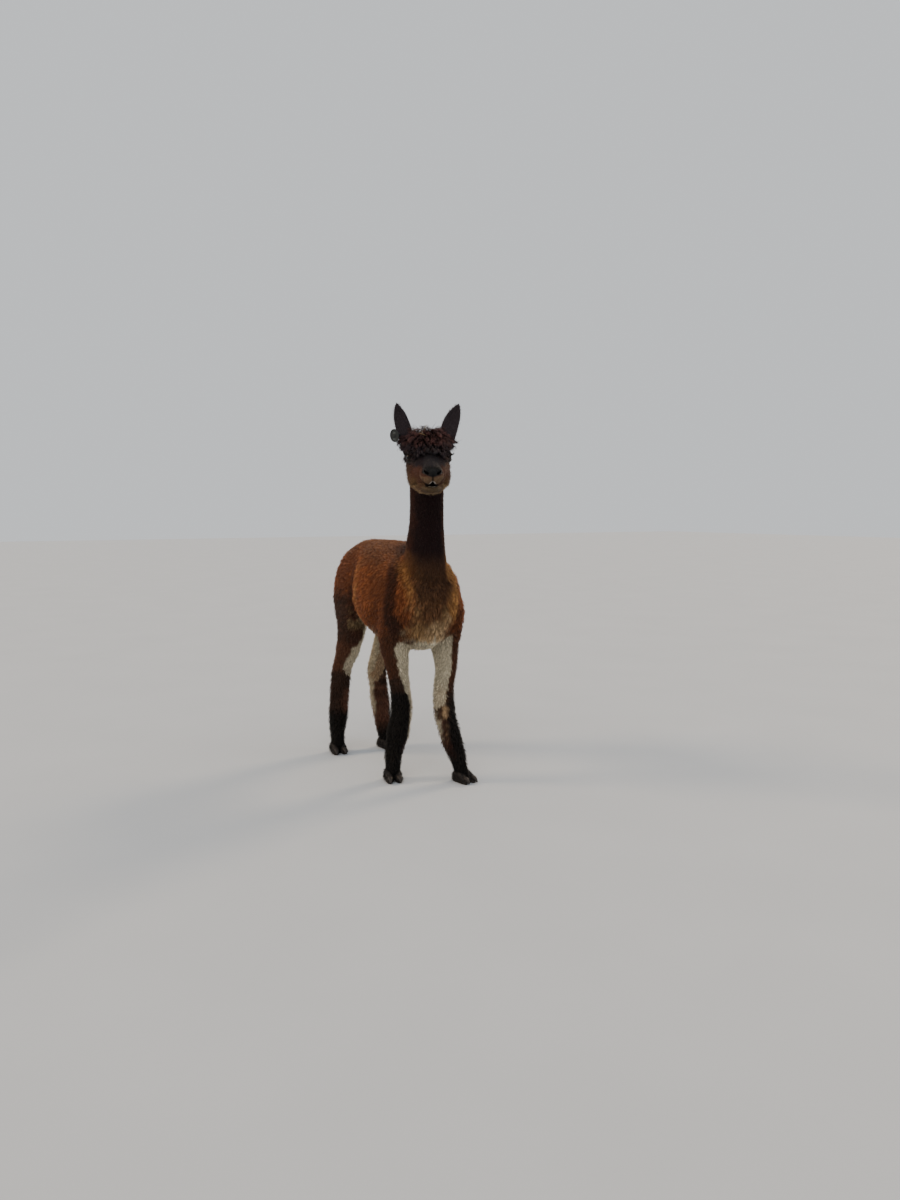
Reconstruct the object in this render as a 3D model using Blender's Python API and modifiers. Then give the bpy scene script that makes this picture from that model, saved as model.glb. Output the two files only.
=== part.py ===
"""A life-size museum model of a standing, lately shorn alpaca with a plain button tag in its right ear.

Run it with: blender --background --python part.py
Metres, +Z up. The body faces -Y, its left side is +X, and it stands on the plane z = 0.
The solids reach out to the tips of the coat. The neck turns the head to the animal's right.

The flesh is a set of lofts through oval rings. They are fused and smoothed into one body, which
thin cuts then part into head, jaw, neck, trunk and legs. Ears, eyes, tail, toes, nails and tag
are pieces of their own.
"""

import math

import bmesh
import bpy
import numpy as np
from mathutils import Matrix, Vector

# ---------------------------------------------------------------- driving sizes
GAP = 0.0004  # left between two neighbouring solids
VOXEL = 0.0065  # grain of the fused body
FUSE_SMOOTHING = 18  # passes that round the creases where limbs meet the trunk
BODY_TRIANGLES = 3800  # of the fused body before it is parted
BODY_SHIFT = Vector((0.00820, 0.06459, 0.0))  # puts the middle of the bounding box over the origin

HEAD_TURN = math.radians(23)  # the head looks to the animal's right
HEAD_PITCH = math.radians(12)  # and the muzzle points a little down
HEAD_CENTRE = Vector((-0.0885, -0.4525, 1.213))  # midway between the eyes
SKULL_BACK = -0.125
NOSE_TIP = 0.158

EYE_RADIUS = 0.0172
EYE_PLACE = Vector((0.010, 0.0620, 0.012))  # forward, sideways and up from the head's centre

EAR_ROOT = Vector((-0.072, 0.066, 0.052))
EAR_TIP = Vector((-0.066, 0.110, 0.190))
EAR_AROUND = 14  # points on a ring of the ear
EAR_OPENING = math.radians(14)  # how far the cup of the ear faces outwards

KNEE_HEIGHT = 0.290
HOCK_HEIGHT = 0.335
TOE_TOP = 0.036  # level where the toes end and the leg begins
TOE_LENGTH = 0.084
TOE_WIDTH = 0.029
TOE_CLEFT = 0.004

TAG_RADIUS = 0.023
TAG_PLACE = (-0.058, -0.117, 0.079)
TAG_THICKNESS = 0.0022
TAG_STUD_LENGTH = 0.024

# Rings of the trunk: place along the back, middle height, half width, reach up, reach down
TRUNK_RINGS = (
    (-0.388, 0.690, 0.024, 0.036, 0.040),
    (-0.374, 0.692, 0.064, 0.094, 0.084),
    (-0.338, 0.692, 0.112, 0.146, 0.138),
    (-0.280, 0.686, 0.146, 0.190, 0.172),
    (-0.200, 0.684, 0.163, 0.218, 0.186),
    (-0.100, 0.688, 0.166, 0.230, 0.188),
    (0.000, 0.696, 0.163, 0.227, 0.180),
    (0.080, 0.708, 0.151, 0.216, 0.165),
    (0.150, 0.724, 0.130, 0.200, 0.145),
    (0.230, 0.738, 0.121, 0.180, 0.125),
    (0.300, 0.735, 0.120, 0.160, 0.115),
    (0.355, 0.728, 0.104, 0.125, 0.106),
    (0.390, 0.720, 0.074, 0.090, 0.082),
    (0.408, 0.716, 0.032, 0.042, 0.040),
)

# Rings of the neck: x, y, z, half width, reach towards the nape, reach towards the throat
NECK_RINGS = (
    (0.000, -0.190, 0.620, 0.080, 0.080, 0.175),
    (-0.002, -0.232, 0.700, 0.108, 0.110, 0.158),
    (-0.008, -0.264, 0.780, 0.101, 0.108, 0.122),
    (-0.018, -0.290, 0.860, 0.079, 0.092, 0.100),
    (-0.0245, -0.314, 0.935, 0.0685, 0.080, 0.081),
    (-0.0325, -0.334, 1.020, 0.0625, 0.074, 0.073),
    (-0.0405, -0.350, 1.110, 0.0625, 0.073, 0.071),
    (-0.046, -0.358, 1.180, 0.068, 0.072, 0.068),
    (-0.048, -0.366, 1.240, 0.058, 0.056, 0.052),
)

# Rings of the head: forward, height of the middle, half width, reach up, reach down
HEAD_RINGS = (
    (SKULL_BACK, -0.010, 0.028, 0.036, 0.028),
    (-0.105, -0.018, 0.058, 0.066, 0.056),
    (-0.060, -0.026, 0.077, 0.092, 0.078),
    (-0.015, -0.030, 0.082, 0.092, 0.086),
    (0.030, -0.032, 0.077, 0.083, 0.085),
    (0.066, -0.030, 0.066, 0.069, 0.079),
    (0.098, -0.026, 0.051, 0.053, 0.070),
    (0.128, -0.026, 0.044, 0.043, 0.061),
    (0.149, -0.030, 0.037, 0.035, 0.050),
    (NOSE_TIP, -0.032, 0.020, 0.018, 0.028),
)

# Rings of the tuft of wool on the crown, in the same columns as the head
TOPKNOT_RINGS = (
    (-0.136, 0.018, 0.036, 0.036, 0.038),
    (-0.112, 0.038, 0.072, 0.058, 0.042),
    (-0.066, 0.052, 0.092, 0.066, 0.046),
    (-0.018, 0.056, 0.094, 0.060, 0.042),
    (0.022, 0.046, 0.082, 0.047, 0.032),
    (0.050, 0.032, 0.052, 0.028, 0.020),
)

# Levels of a front leg: height, half width, reach forward and reach back from the bone line
FRONT_LEVELS = (
    (0.830, 0.045, 0.050, 0.060),
    (0.750, 0.060, 0.088, 0.096),
    (0.660, 0.068, 0.096, 0.098),
    (0.580, 0.066, 0.080, 0.090),
    (0.510, 0.055, 0.064, 0.072),
    (0.430, 0.044, 0.050, 0.054),
    (0.350, 0.041, 0.045, 0.045),
    (KNEE_HEIGHT, 0.045, 0.051, 0.044),
    (0.230, 0.047, 0.047, 0.048),
    (0.160, 0.046, 0.045, 0.050),
    (0.095, 0.038, 0.041, 0.045),
    (0.055, 0.031, 0.038, 0.034),
    (0.020, 0.030, 0.038, 0.031),
)

# The same of a hind leg, whose thigh lies mostly behind the bone line
HIND_LEVELS = (
    (0.870, 0.036, 0.045, 0.060),
    (0.820, 0.056, 0.085, 0.125),
    (0.760, 0.064, 0.100, 0.182),
    (0.690, 0.066, 0.078, 0.206),
    (0.610, 0.060, 0.046, 0.194),
    (0.530, 0.052, 0.047, 0.138),
    (0.450, 0.051, 0.051, 0.084),
    (0.390, 0.047, 0.050, 0.061),
    (HOCK_HEIGHT, 0.043, 0.048, 0.057),
    (0.270, 0.045, 0.047, 0.046),
    (0.180, 0.045, 0.045, 0.048),
    (0.095, 0.037, 0.041, 0.045),
    (0.055, 0.031, 0.038, 0.034),
    (0.020, 0.030, 0.038, 0.031),
)

# Bone line of each leg as (height, x, y), from the top down, and the way its toes point
LEG_LINES = {
    "front_right": (
        ((0.83, -0.080, -0.175), (0.68, -0.098, -0.222), (0.53, -0.092, -0.182),
         (0.29, -0.078, -0.210), (0.095, -0.106, -0.198), (0.02, -0.117, -0.206)),
        math.radians(14),
    ),
    "front_left": (
        ((0.83, 0.082, -0.180), (0.68, 0.102, -0.236), (0.53, 0.102, -0.230),
         (0.42, 0.090, -0.262), (0.29, 0.058, -0.300), (0.095, 0.097, -0.336), (0.02, 0.110, -0.352)),
        math.radians(-10),
    ),
    "hind_right": (
        ((0.87, -0.062, 0.240), (0.61, -0.092, 0.168), (0.45, -0.098, 0.240), (HOCK_HEIGHT, -0.113, 0.296),
         (0.095, -0.136, 0.284), (0.02, -0.141, 0.276)),
        math.radians(8),
    ),
    "hind_left": (
        ((0.87, 0.062, 0.240), (0.61, 0.090, 0.158), (0.45, 0.079, 0.245), (HOCK_HEIGHT, 0.066, 0.308),
         (0.095, 0.073, 0.264), (0.02, 0.076, 0.252)),
        math.radians(-10),
    ),
}

# Where each pair of legs is cut from the trunk: point and upward normal of the slanted plane on
# the left side (the normal's x is its lean towards the middle), and the y range of the cut
LEG_CUTS = {
    "front": ((0.095, 0.0, 0.560), (0.735, 0.0, 0.678), -0.460, -0.120),
    "hind": ((0.100, 0.0, 0.665), (0.750, 0.0, 0.660), 0.090, 0.470),
}

HEAD_CUT = Vector((-0.060, -0.360, 1.170))
HEAD_CUT_NORMAL = Vector((-0.10, -0.68, 0.73))
NECK_CUT = Vector((0.0, -0.280, 0.840))
NECK_CUT_NORMAL = Vector((0.0, -0.60, 0.80))
MOUTH_CORNER = 0.100  # how far ahead of the eyes the mouth ends
MOUTH_HEIGHT = -0.055
JAW_DROP = 0.13  # slope of the lower lip away from the upper one, forwards
LIP_LIFT = 0.05
TEETH_PLACE = (0.145, -0.062)
TEETH_RADIUS = 0.012

# Rings of the tail: x, y, z, half width, reach outwards, reach towards the rump
TAIL_RINGS = (
    (0.000, 0.355, 0.812, 0.022, 0.014, 0.014),
    (0.000, 0.400, 0.812, 0.029, 0.020, 0.018),
    (0.002, 0.432, 0.780, 0.032, 0.021, 0.017),
    (0.004, 0.446, 0.730, 0.033, 0.022, 0.016),
    (0.006, 0.444, 0.680, 0.030, 0.020, 0.015),
    (0.006, 0.438, 0.642, 0.017, 0.011, 0.010),
)

# Rings of an ear: share of its length, half width, depth of the back, depth of the hollow
EAR_RINGS = (
    (0.00, 0.025, 0.017, 0.004),
    (0.16, 0.0300, 0.021, 0.008),
    (0.36, 0.0315, 0.021, 0.010),
    (0.54, 0.0295, 0.019, 0.010),
    (0.72, 0.0240, 0.015, 0.008),
    (0.87, 0.0145, 0.010, 0.004),
    (0.96, 0.0070, 0.006, 0.002),
)

# Colour and roughness by kind of piece
COLOURS = {
    "fleece": ("4A2A1C", 0.95),
    "face": ("33221B", 0.90),
    "ear": ("2A1C19", 0.92),
    "shin": ("2B1D1A", 0.95),
    "sole": ("241D1B", 0.80),
    "nail": ("3A302A", 0.45),
    "eye": ("0B0807", 0.08),
    "tag": ("1E2A27", 0.40),
    "tooth": ("CFC3A2", 0.30),
}

# ---------------------------------------------------------------- materials


def hex_colour(code):
    """sRGB hex to the linear values that a shader takes."""
    channels = [int(code[i : i + 2], 16) / 255 for i in (0, 2, 4)]
    return [c / 12.92 if c <= 0.04045 else ((c + 0.055) / 1.055) ** 2.4 for c in channels] + [1.0]


def material(name, code, roughness):
    made = bpy.data.materials.new(name)
    made.use_nodes = True
    shader = made.node_tree.nodes["Principled BSDF"]
    shader.inputs["Base Color"].default_value = hex_colour(code)
    shader.inputs["Roughness"].default_value = roughness
    return made


# ---------------------------------------------------------------- rings and lofts


def eased(rows, steps):
    """Rows of numbers with more rows between them, on a Catmull-Rom curve."""
    rows = np.array(rows, float)
    padded = np.vstack([2 * rows[0] - rows[1], rows, 2 * rows[-1] - rows[-2]])
    found = []
    for i in range(1, len(rows)):
        a, b, c, d = padded[i - 1 : i + 3]
        for t in np.arange(steps) / steps:
            found.append(
                0.5 * (2 * b + (c - a) * t + (2 * a - 5 * b + 4 * c - d) * t**2
                       + (3 * b - a - 3 * c + d) * t**3)
            )
    return np.array(found + [rows[-1]]).tolist()


def ring(centre, side_axis, up_axis, side, up, down, around, fullness=2.1, keel=0.0):
    """Points of an oval with its own reach up and down. A fullness over 2 squares it a little,
    and a keel draws its lower half in."""
    points = []
    for k in range(around):
        angle = 2 * math.pi * k / around
        c, s = math.cos(angle), math.sin(angle)
        across = side * math.copysign(abs(c) ** (2 / fullness), c)
        along = (up if s > 0 else down) * math.copysign(abs(s) ** (2 / fullness), s)
        if s < 0:
            across *= 1 - keel * abs(s) ** 1.5
        points.append(Vector(centre) + across * Vector(side_axis) + along * Vector(up_axis))
    return points


def loft(name, rings):
    """A closed mesh through rings of equal count, with a fan at each end."""
    mesh = bmesh.new()
    loops = [[mesh.verts.new(p) for p in points] for points in rings]
    count = len(loops[0])
    for low, high in zip(loops, loops[1:]):
        for k in range(count):
            nxt = (k + 1) % count
            mesh.faces.new((low[k], low[nxt], high[nxt], high[k]))
    for end in (loops[0], loops[-1]):
        middle = mesh.verts.new(sum((v.co for v in end), Vector()) / count)
        for k in range(count):
            mesh.faces.new((end[k], end[(k + 1) % count], middle))
    bmesh.ops.recalc_face_normals(mesh, faces=mesh.faces)
    return new_object(name, mesh)


def new_object(name, mesh):
    data = bpy.data.meshes.new(name)
    mesh.to_mesh(data)
    mesh.free()
    made = bpy.data.objects.new(name, data)
    bpy.context.scene.collection.objects.link(made)
    return made


def head_axes():
    """The head's forward, sideways (to its left) and upward directions."""
    turn = Matrix.Rotation(-HEAD_TURN, 3, "Z")
    pitch = Matrix.Rotation(HEAD_PITCH, 3, "X")
    return [turn @ pitch @ Vector(v) for v in ((0, -1, 0), (1, 0, 0), (0, 0, 1))]


def head_point(forward, sideways, up):
    ahead, left, above = head_axes()
    return HEAD_CENTRE + forward * ahead + sideways * left + up * above


# ---------------------------------------------------------------- the forms of flesh


def trunk_form():
    rings = []
    for y, z, side, up, down in eased(TRUNK_RINGS, 3):
        keel = 0.35 * min(1.0, max(0.0, (-0.05 - y) / 0.25))
        rings.append(ring((0, y, z), (1, 0, 0), (0, 0, 1), side, up, down, 32, 2.15, keel))
    return loft("trunk_form", rings)


def path_form(name, rows, hint, around=24, steps=3):
    """A loft whose rings stand square to the line through their middles. hint is the way up."""
    rows = eased(rows, steps)
    tangents = np.gradient([row[:3] for row in rows], axis=0)
    rings = []
    for row, tangent in zip(rows, tangents):
        along = Vector(tangent).normalized()
        side_axis = along.cross(Vector(hint)).normalized()
        up_axis = side_axis.cross(along)
        rings.append(ring(row[:3], side_axis, up_axis, row[3], row[4], row[5], around))
    return loft(name, rings)


def head_form(name, rows, around=28):
    _, left, above = head_axes()
    rings = []
    for forward, height, side, up, down in eased(rows, 3):
        rings.append(ring(head_point(forward, 0, height), left, above, side, up, down, around))
    return loft(name, rings)


def bone_line(name):
    """A function that gives x and y of a leg's bone line at a height."""
    heights, across, along = zip(*eased(LEG_LINES[name][0], 6)[::-1])
    return lambda z: (float(np.interp(z, heights, across)), float(np.interp(z, heights, along)))


def leg_form(name):
    levels = FRONT_LEVELS if name.startswith("front") else HIND_LEVELS
    line = bone_line(name)
    rings = []
    for z, side, forward, back in eased(levels, 3):
        x, y = line(z)
        rings.append(ring((x, y, z), (1, 0, 0), (0, 1, 0), side, back, forward, 20))
    return loft(name + "_form", rings)


def fused_body():
    """All the forms of flesh as one smooth closed mesh."""
    forms = [trunk_form()]
    forms.append(path_form("neck_form", NECK_RINGS, (0, 1, 0)))
    forms.append(head_form("head_form", HEAD_RINGS))
    forms.append(head_form("topknot_form", TOPKNOT_RINGS))
    forms += [leg_form(name) for name in LEG_LINES]
    mesh = bmesh.new()
    for form in forms:
        mesh.from_mesh(form.data)
        bpy.data.objects.remove(form)
    body = new_object("body", mesh)
    remesh = body.modifiers.new("fuse", "REMESH")
    remesh.mode = "VOXEL"
    remesh.voxel_size = VOXEL
    smooth = body.modifiers.new("soften", "SMOOTH")
    smooth.factor = 0.5
    smooth.iterations = FUSE_SMOOTHING
    triangulate = body.modifiers.new("triangles", "TRIANGULATE")
    triangulate.quad_method = "FIXED"
    apply_modifiers(body)
    decimate = body.modifiers.new("lighten", "DECIMATE")
    decimate.ratio = BODY_TRIANGLES / len(body.data.polygons)
    apply_modifiers(body)
    return body


def apply_modifiers(obj):
    """Replaces the object's mesh with what its modifiers make of it."""
    graph = bpy.context.evaluated_depsgraph_get()
    made = bpy.data.meshes.new_from_object(obj.evaluated_get(graph))
    obj.modifiers.clear()
    old, obj.data = obj.data, made
    bpy.data.meshes.remove(old)


# ---------------------------------------------------------------- cutting


def half_space_block(name, planes, grow=0.0, size=3.0):
    """A big block cut down to what lies behind every plane, each a (point, outward normal)."""
    mesh = bmesh.new()
    bmesh.ops.create_cube(mesh, size=size)
    for point, normal in planes:
        normal = Vector(normal).normalized()
        cut = bmesh.ops.bisect_plane(
            mesh,
            geom=mesh.verts[:] + mesh.edges[:] + mesh.faces[:],
            plane_co=Vector(point) + grow * normal,
            plane_no=normal,
            clear_outer=True,
        )
        edges = [e for e in cut["geom_cut"] if isinstance(e, bmesh.types.BMEdge)]
        bmesh.ops.contextual_create(mesh, geom=edges)
    bmesh.ops.recalc_face_normals(mesh, faces=mesh.faces)
    return new_object(name, mesh)


def boolean(obj, cutter, operation):
    step = obj.modifiers.new(operation.lower(), "BOOLEAN")
    step.operation = operation
    step.object = cutter
    apply_modifiers(obj)


def copy_of(obj, name):
    made = bpy.data.objects.new(name, obj.data.copy())
    bpy.context.scene.collection.objects.link(made)
    return made


def take(body, name, planes):
    """Parts what lies behind the planes from the body, leaving a thin gap. Returns the piece."""
    piece = copy_of(body, name)
    inner = half_space_block("inner", planes)
    outer = half_space_block("outer", planes, GAP)
    boolean(piece, inner, "INTERSECT")
    boolean(body, outer, "DIFFERENCE")
    for cutter in (inner, outer):
        bpy.data.objects.remove(cutter)
    keep_largest(piece)
    keep_largest(body)
    return piece


def keep_largest(obj):
    """Drops the crumbs that a cut can leave beside the piece."""
    mesh = bmesh.new()
    mesh.from_mesh(obj.data)
    bmesh.ops.remove_doubles(mesh, verts=mesh.verts, dist=0.00002)
    left = set(mesh.faces)
    islands = []
    while left:
        stack = [left.pop()]
        island = set(stack)
        while stack:
            for edge in stack.pop().edges:
                for face in edge.link_faces:
                    if face in left:
                        left.discard(face)
                        island.add(face)
                        stack.append(face)
        islands.append(island)
    islands.sort(key=lambda island: sum(f.calc_area() for f in island), reverse=True)
    crumbs = [f for island in islands[1:] for f in island]
    bmesh.ops.delete(mesh, geom=crumbs, context="FACES")
    mesh.to_mesh(obj.data)
    mesh.free()


def cut_clear_of(obj, neighbour):
    """Cuts away what the neighbour fills, with the gap round it."""
    grown = copy_of(neighbour, "grown")
    mesh = bmesh.new()
    mesh.from_mesh(grown.data)
    mesh.normal_update()
    shifts = [v.normal * GAP * min(4.0, v.calc_shell_factor()) for v in mesh.verts]
    for vertex, shift in zip(mesh.verts, shifts):
        vertex.co += shift
    mesh.to_mesh(grown.data)
    mesh.free()
    boolean(obj, grown, "DIFFERENCE")
    bpy.data.objects.remove(grown)
    keep_largest(obj)


# ---------------------------------------------------------------- smaller pieces


def eye(name, sign):
    mesh = bmesh.new()
    bmesh.ops.create_uvsphere(mesh, u_segments=14, v_segments=9, radius=EYE_RADIUS)
    centre = head_point(EYE_PLACE.x, sign * EYE_PLACE.y, EYE_PLACE.z)
    bmesh.ops.translate(mesh, verts=mesh.verts, vec=centre)
    return new_object(name, mesh)


def ear(name, sign):
    """A pointed cup, open to the front. sign is 1 on the animal's left."""
    root = head_point(EAR_ROOT.x, sign * EAR_ROOT.y, EAR_ROOT.z)
    tip = head_point(EAR_TIP.x, sign * EAR_TIP.y, EAR_TIP.z)
    along = (tip - root).normalized()
    ahead, left, _ = head_axes()
    opening = math.cos(EAR_OPENING) * ahead + math.sin(EAR_OPENING) * sign * left
    side_axis = along.cross(opening).normalized()
    back_axis = side_axis.cross(along).normalized()
    if back_axis.dot(opening) > 0:
        back_axis.negate()
    rings = []
    for share, side, back, hollow in EAR_RINGS:
        bow = 0.010 * math.sin(math.pi * share)  # the ear arches backwards a little
        centre = root.lerp(tip, share) + bow * back_axis
        points = ring(centre, side_axis, back_axis, side, back, 0.001, EAR_AROUND, 2.0)
        for k in range(EAR_AROUND // 2 + 1, EAR_AROUND):  # the front of each ring is pushed in to make the cup
            angle = 2 * math.pi * k / EAR_AROUND
            across = 0.86 * side * math.cos(angle)
            points[k] = centre + across * side_axis - hollow * math.sin(angle) * back_axis
        rings.append(points)
    rings.append([tip + 0.002 * (p - tip) / max((p - tip).length, 1e-9) for p in rings[-1]])
    return loft(name, rings)


def toe_frame(leg):
    """Middle of the foot on the ground, and the toes' forward and sideways directions."""
    line, turn = LEG_LINES[leg]
    _, x, y = line[-1]
    forward = Matrix.Rotation(-turn, 3, "Z") @ Vector((0, -1, 0))
    sideways = Matrix.Rotation(-turn, 3, "Z") @ Vector((1, 0, 0))
    return Vector((x, y, 0)), forward, sideways


def toe(name, leg, sign):
    """One of the two toes of a foot: a soft pad with a flat sole."""
    middle, forward, sideways = toe_frame(leg)
    off = sign * (TOE_WIDTH + TOE_CLEFT) / 2
    # share of the length from the heel, share of the width, height of the toe's back
    shape = ((0.0, 0.35, 0.026), (0.07, 0.75, 0.040), (0.28, 1.0, 0.047), (0.52, 1.0, 0.044),
             (0.74, 0.97, 0.033), (0.90, 0.78, 0.022), (1.0, 0.36, 0.012))
    rings = []
    for share, width, height in shape:
        reach = (share - 0.38) * TOE_LENGTH
        spread = sign * 0.06 * max(0.0, share - 0.4) * TOE_LENGTH
        centre = middle + reach * forward + (off + spread) * sideways + Vector((0, 0, height * 0.45))
        rings.append(
            ring(centre, sideways, (0, 0, 1), width * TOE_WIDTH / 2, height * 0.55, height * 0.62, 8, 2.3)
        )
    made = loft(name, rings)
    floor = half_space_block("floor", [((0, 0, 0), (0, 0, -1)), ((0, 0, TOE_TOP), (0, 0, 1))])
    boolean(made, floor, "INTERSECT")
    bpy.data.objects.remove(floor)
    keep_largest(made)
    return made


def nail(name, leg, sign):
    """The curved nail on the front of a toe."""
    middle, forward, sideways = toe_frame(leg)
    off = sign * (TOE_WIDTH + TOE_CLEFT) / 2
    # reach ahead of the foot's middle, height, half width, half thickness
    shape = ((0.038, 0.024, 0.0080, 0.0050), (0.048, 0.022, 0.0085, 0.0055),
             (0.058, 0.016, 0.0070, 0.0050), (0.066, 0.008, 0.0035, 0.0026))
    rings = []
    for reach, height, half, thick in shape:
        spread = sign * 0.06 * max(0.0, reach - 0.01)
        centre = middle + reach * forward + (off + spread) * sideways + Vector((0, 0, height))
        up = Vector((0, 0, 1)) * 0.85 + forward * 0.53
        rings.append(ring(centre, sideways, up, half, thick, thick, 6))
    return loft(name, rings)


def tag_pieces():
    """A plain round button tag and the stud that holds it through the right ear's outer edge."""
    ahead, left, _ = head_axes()
    centre = head_point(*TAG_PLACE)
    face = (0.62 * ahead - 0.78 * left).normalized()
    turn = face.to_track_quat("Z", "Y").to_matrix().to_4x4()
    pieces = []
    for name, around, radius, depth, shift in (
        ("ear_tag_disc", 24, TAG_RADIUS, TAG_THICKNESS, 0.0),
        ("ear_tag_stud", 10, 0.0035, TAG_STUD_LENGTH, -(TAG_STUD_LENGTH / 2 + TAG_THICKNESS / 2 + GAP)),
    ):
        mesh = bmesh.new()
        bmesh.ops.create_cone(
            mesh, cap_ends=True, segments=around, radius1=radius, radius2=radius, depth=depth
        )
        place = Matrix.Translation(centre + shift * face) @ turn
        bmesh.ops.transform(mesh, matrix=place, verts=mesh.verts)
        pieces.append(new_object(name, mesh))
    return pieces


# ---------------------------------------------------------------- assembly


def part_head(body):
    """Cuts jaw, head and neck off the body, from the front backwards."""
    ahead, _, above = head_axes()
    mouth = head_point(MOUTH_CORNER, 0, MOUTH_HEIGHT)
    around = [(mouth, -ahead), ((0, 0, 1.0), (0, 0, -1))]
    jaw = take(body, "lower_jaw", [(mouth, above + JAW_DROP * ahead)] + around)
    opening = half_space_block("opening", [(mouth, above - LIP_LIFT * ahead)] + around, GAP)
    boolean(body, opening, "DIFFERENCE")
    bpy.data.objects.remove(opening)
    head = take(body, "head", [(HEAD_CUT, -HEAD_CUT_NORMAL)])
    neck = take(body, "neck", [(NECK_CUT, -NECK_CUT_NORMAL)])
    return jaw, head, neck


def part_leg(body, leg):
    """Cuts a leg off the trunk, and its lower half off the upper."""
    sign = 1 if leg.endswith("left") else -1
    middle = KNEE_HEIGHT if leg.startswith("front") else HOCK_HEIGHT
    point, normal, ahead, behind = LEG_CUTS[leg.split("_")[0]]
    side = Vector((sign * point[0], point[1], point[2]))
    inward = Vector((-sign * normal[0], normal[1], normal[2]))
    whole = take(body, "whole", [
        (side, inward),
        ((0, ahead, 0), (0, -1, 0)),
        ((0, behind, 0), (0, 1, 0)),
        ((0.004 * sign, 0, 0), (-sign, 0, 0)),
    ])
    lower = take(whole, leg + "_lower_leg", [((0, 0, middle), (0, 0, 1))])
    whole.name = leg + "_upper_leg"
    return whole, lower


def incisors(name):
    """The row of lower front teeth as one low arc that shows between the lips."""
    ahead, left, above = head_axes()
    rings = []
    for step in range(7):
        angle = math.radians(-63 + 21 * step)
        centre = head_point(
            TEETH_PLACE[0] + TEETH_RADIUS * (math.cos(angle) - 1), TEETH_RADIUS * math.sin(angle), TEETH_PLACE[1]
        )
        outward = math.cos(angle) * ahead + math.sin(angle) * left
        rings.append(ring(centre, outward, above, 0.0016, 0.0060, 0.0060, 6))
    return loft(name, rings)


def shade(obj, key):
    """Gives the object its own material of the named kind."""
    code, roughness = COLOURS[key]
    obj.data.materials.clear()
    obj.data.materials.append(material(obj.name, code, roughness))


def build():
    for obj in list(bpy.data.objects):
        bpy.data.objects.remove(obj)
    body = fused_body()
    ground = half_space_block("ground", [((0, 0, TOE_TOP + GAP), (0, 0, 1))])
    boolean(body, ground, "DIFFERENCE")
    bpy.data.objects.remove(ground)
    body.name = "trunk"
    pieces = {}
    jaw, head, neck = part_head(body)
    pieces["face"] = [jaw, head]
    pieces["fleece"] = [neck, body]
    pieces["shin"] = []
    pieces["sole"] = []
    pieces["nail"] = []
    pieces["eye"] = []
    pieces["ear"] = []
    for leg in LEG_LINES:
        upper, lower = part_leg(body, leg)
        pieces["fleece"].append(upper)
        pieces["shin"].append(lower)
        for where, sign in (("inner", -1), ("outer", 1)):
            if leg.endswith("right"):
                sign = -sign
            claw = nail(f"{leg}_nail_{where}", leg, sign)
            pad = toe(f"{leg}_toe_{where}", leg, sign)
            cut_clear_of(pad, claw)
            pieces["sole"].append(pad)
            pieces["nail"].append(claw)
    for side, sign in (("left", 1), ("right", -1)):
        ball = eye("eye_" + side, sign)
        cup = ear("ear_" + side, sign)
        cut_clear_of(head, ball)
        cut_clear_of(head, cup)
        pieces["eye"].append(ball)
        pieces["ear"].append(cup)
    disc, stud = tag_pieces()
    cut_clear_of(pieces["ear"][1], stud)
    cut_clear_of(pieces["ear"][1], disc)
    pieces["tag"] = [disc, stud]
    tail = path_form("tail", TAIL_RINGS, (0, 1, 0.3), 10, 2)
    cut_clear_of(body, tail)
    pieces["fleece"].append(tail)
    teeth = incisors("lower_incisors")
    cut_clear_of(jaw, teeth)
    cut_clear_of(head, teeth)
    pieces["tooth"] = [teeth]
    home = bpy.data.collections.new("alpaca")
    bpy.context.scene.collection.children.link(home)
    for key, members in pieces.items():
        for obj in members:
            obj.data.transform(Matrix.Translation(BODY_SHIFT))
            shade(obj, key)
            bpy.context.scene.collection.objects.unlink(obj)
            home.objects.link(obj)


build()
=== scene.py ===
"""The looks of a life-size museum alpaca, lately shorn: hide, coat, eyes, nails, pads, teeth and ear tag.

The hide is one closed skin that lies inside the solids by the depth of the coat. The coat is grown
on it as closed tufts that follow the lie of the hair. Metres, +Z up; the body faces -Y.
"""

import math

import bpy
import numpy as np
from mathutils import Matrix, Vector


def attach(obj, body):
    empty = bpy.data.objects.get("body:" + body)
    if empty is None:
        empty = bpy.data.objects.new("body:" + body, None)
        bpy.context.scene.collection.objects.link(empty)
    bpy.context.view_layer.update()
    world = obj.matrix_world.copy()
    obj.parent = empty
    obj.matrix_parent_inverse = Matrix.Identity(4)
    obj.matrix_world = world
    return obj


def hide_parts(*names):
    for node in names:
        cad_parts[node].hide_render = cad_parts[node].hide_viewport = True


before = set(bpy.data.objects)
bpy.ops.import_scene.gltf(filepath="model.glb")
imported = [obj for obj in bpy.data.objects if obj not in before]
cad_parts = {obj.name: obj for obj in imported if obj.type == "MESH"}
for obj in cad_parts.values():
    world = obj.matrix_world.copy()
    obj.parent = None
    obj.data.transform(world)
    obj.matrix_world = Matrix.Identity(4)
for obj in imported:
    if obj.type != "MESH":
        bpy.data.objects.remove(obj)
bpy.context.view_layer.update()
bpy.ops.object.select_all(action="DESELECT")

# ---------------------------------------------------------------- sizes of the animal
HOME = np.array((0.00820, 0.06459, 0.0))  # the tables below are measured from here

HEAD_TURN = math.radians(23)  # to the animal's right
HEAD_PITCH = math.radians(12)  # muzzle down
HEAD_CENTRE = np.array((-0.0885, -0.4525, 1.213)) + HOME  # midway between the eyes

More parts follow.
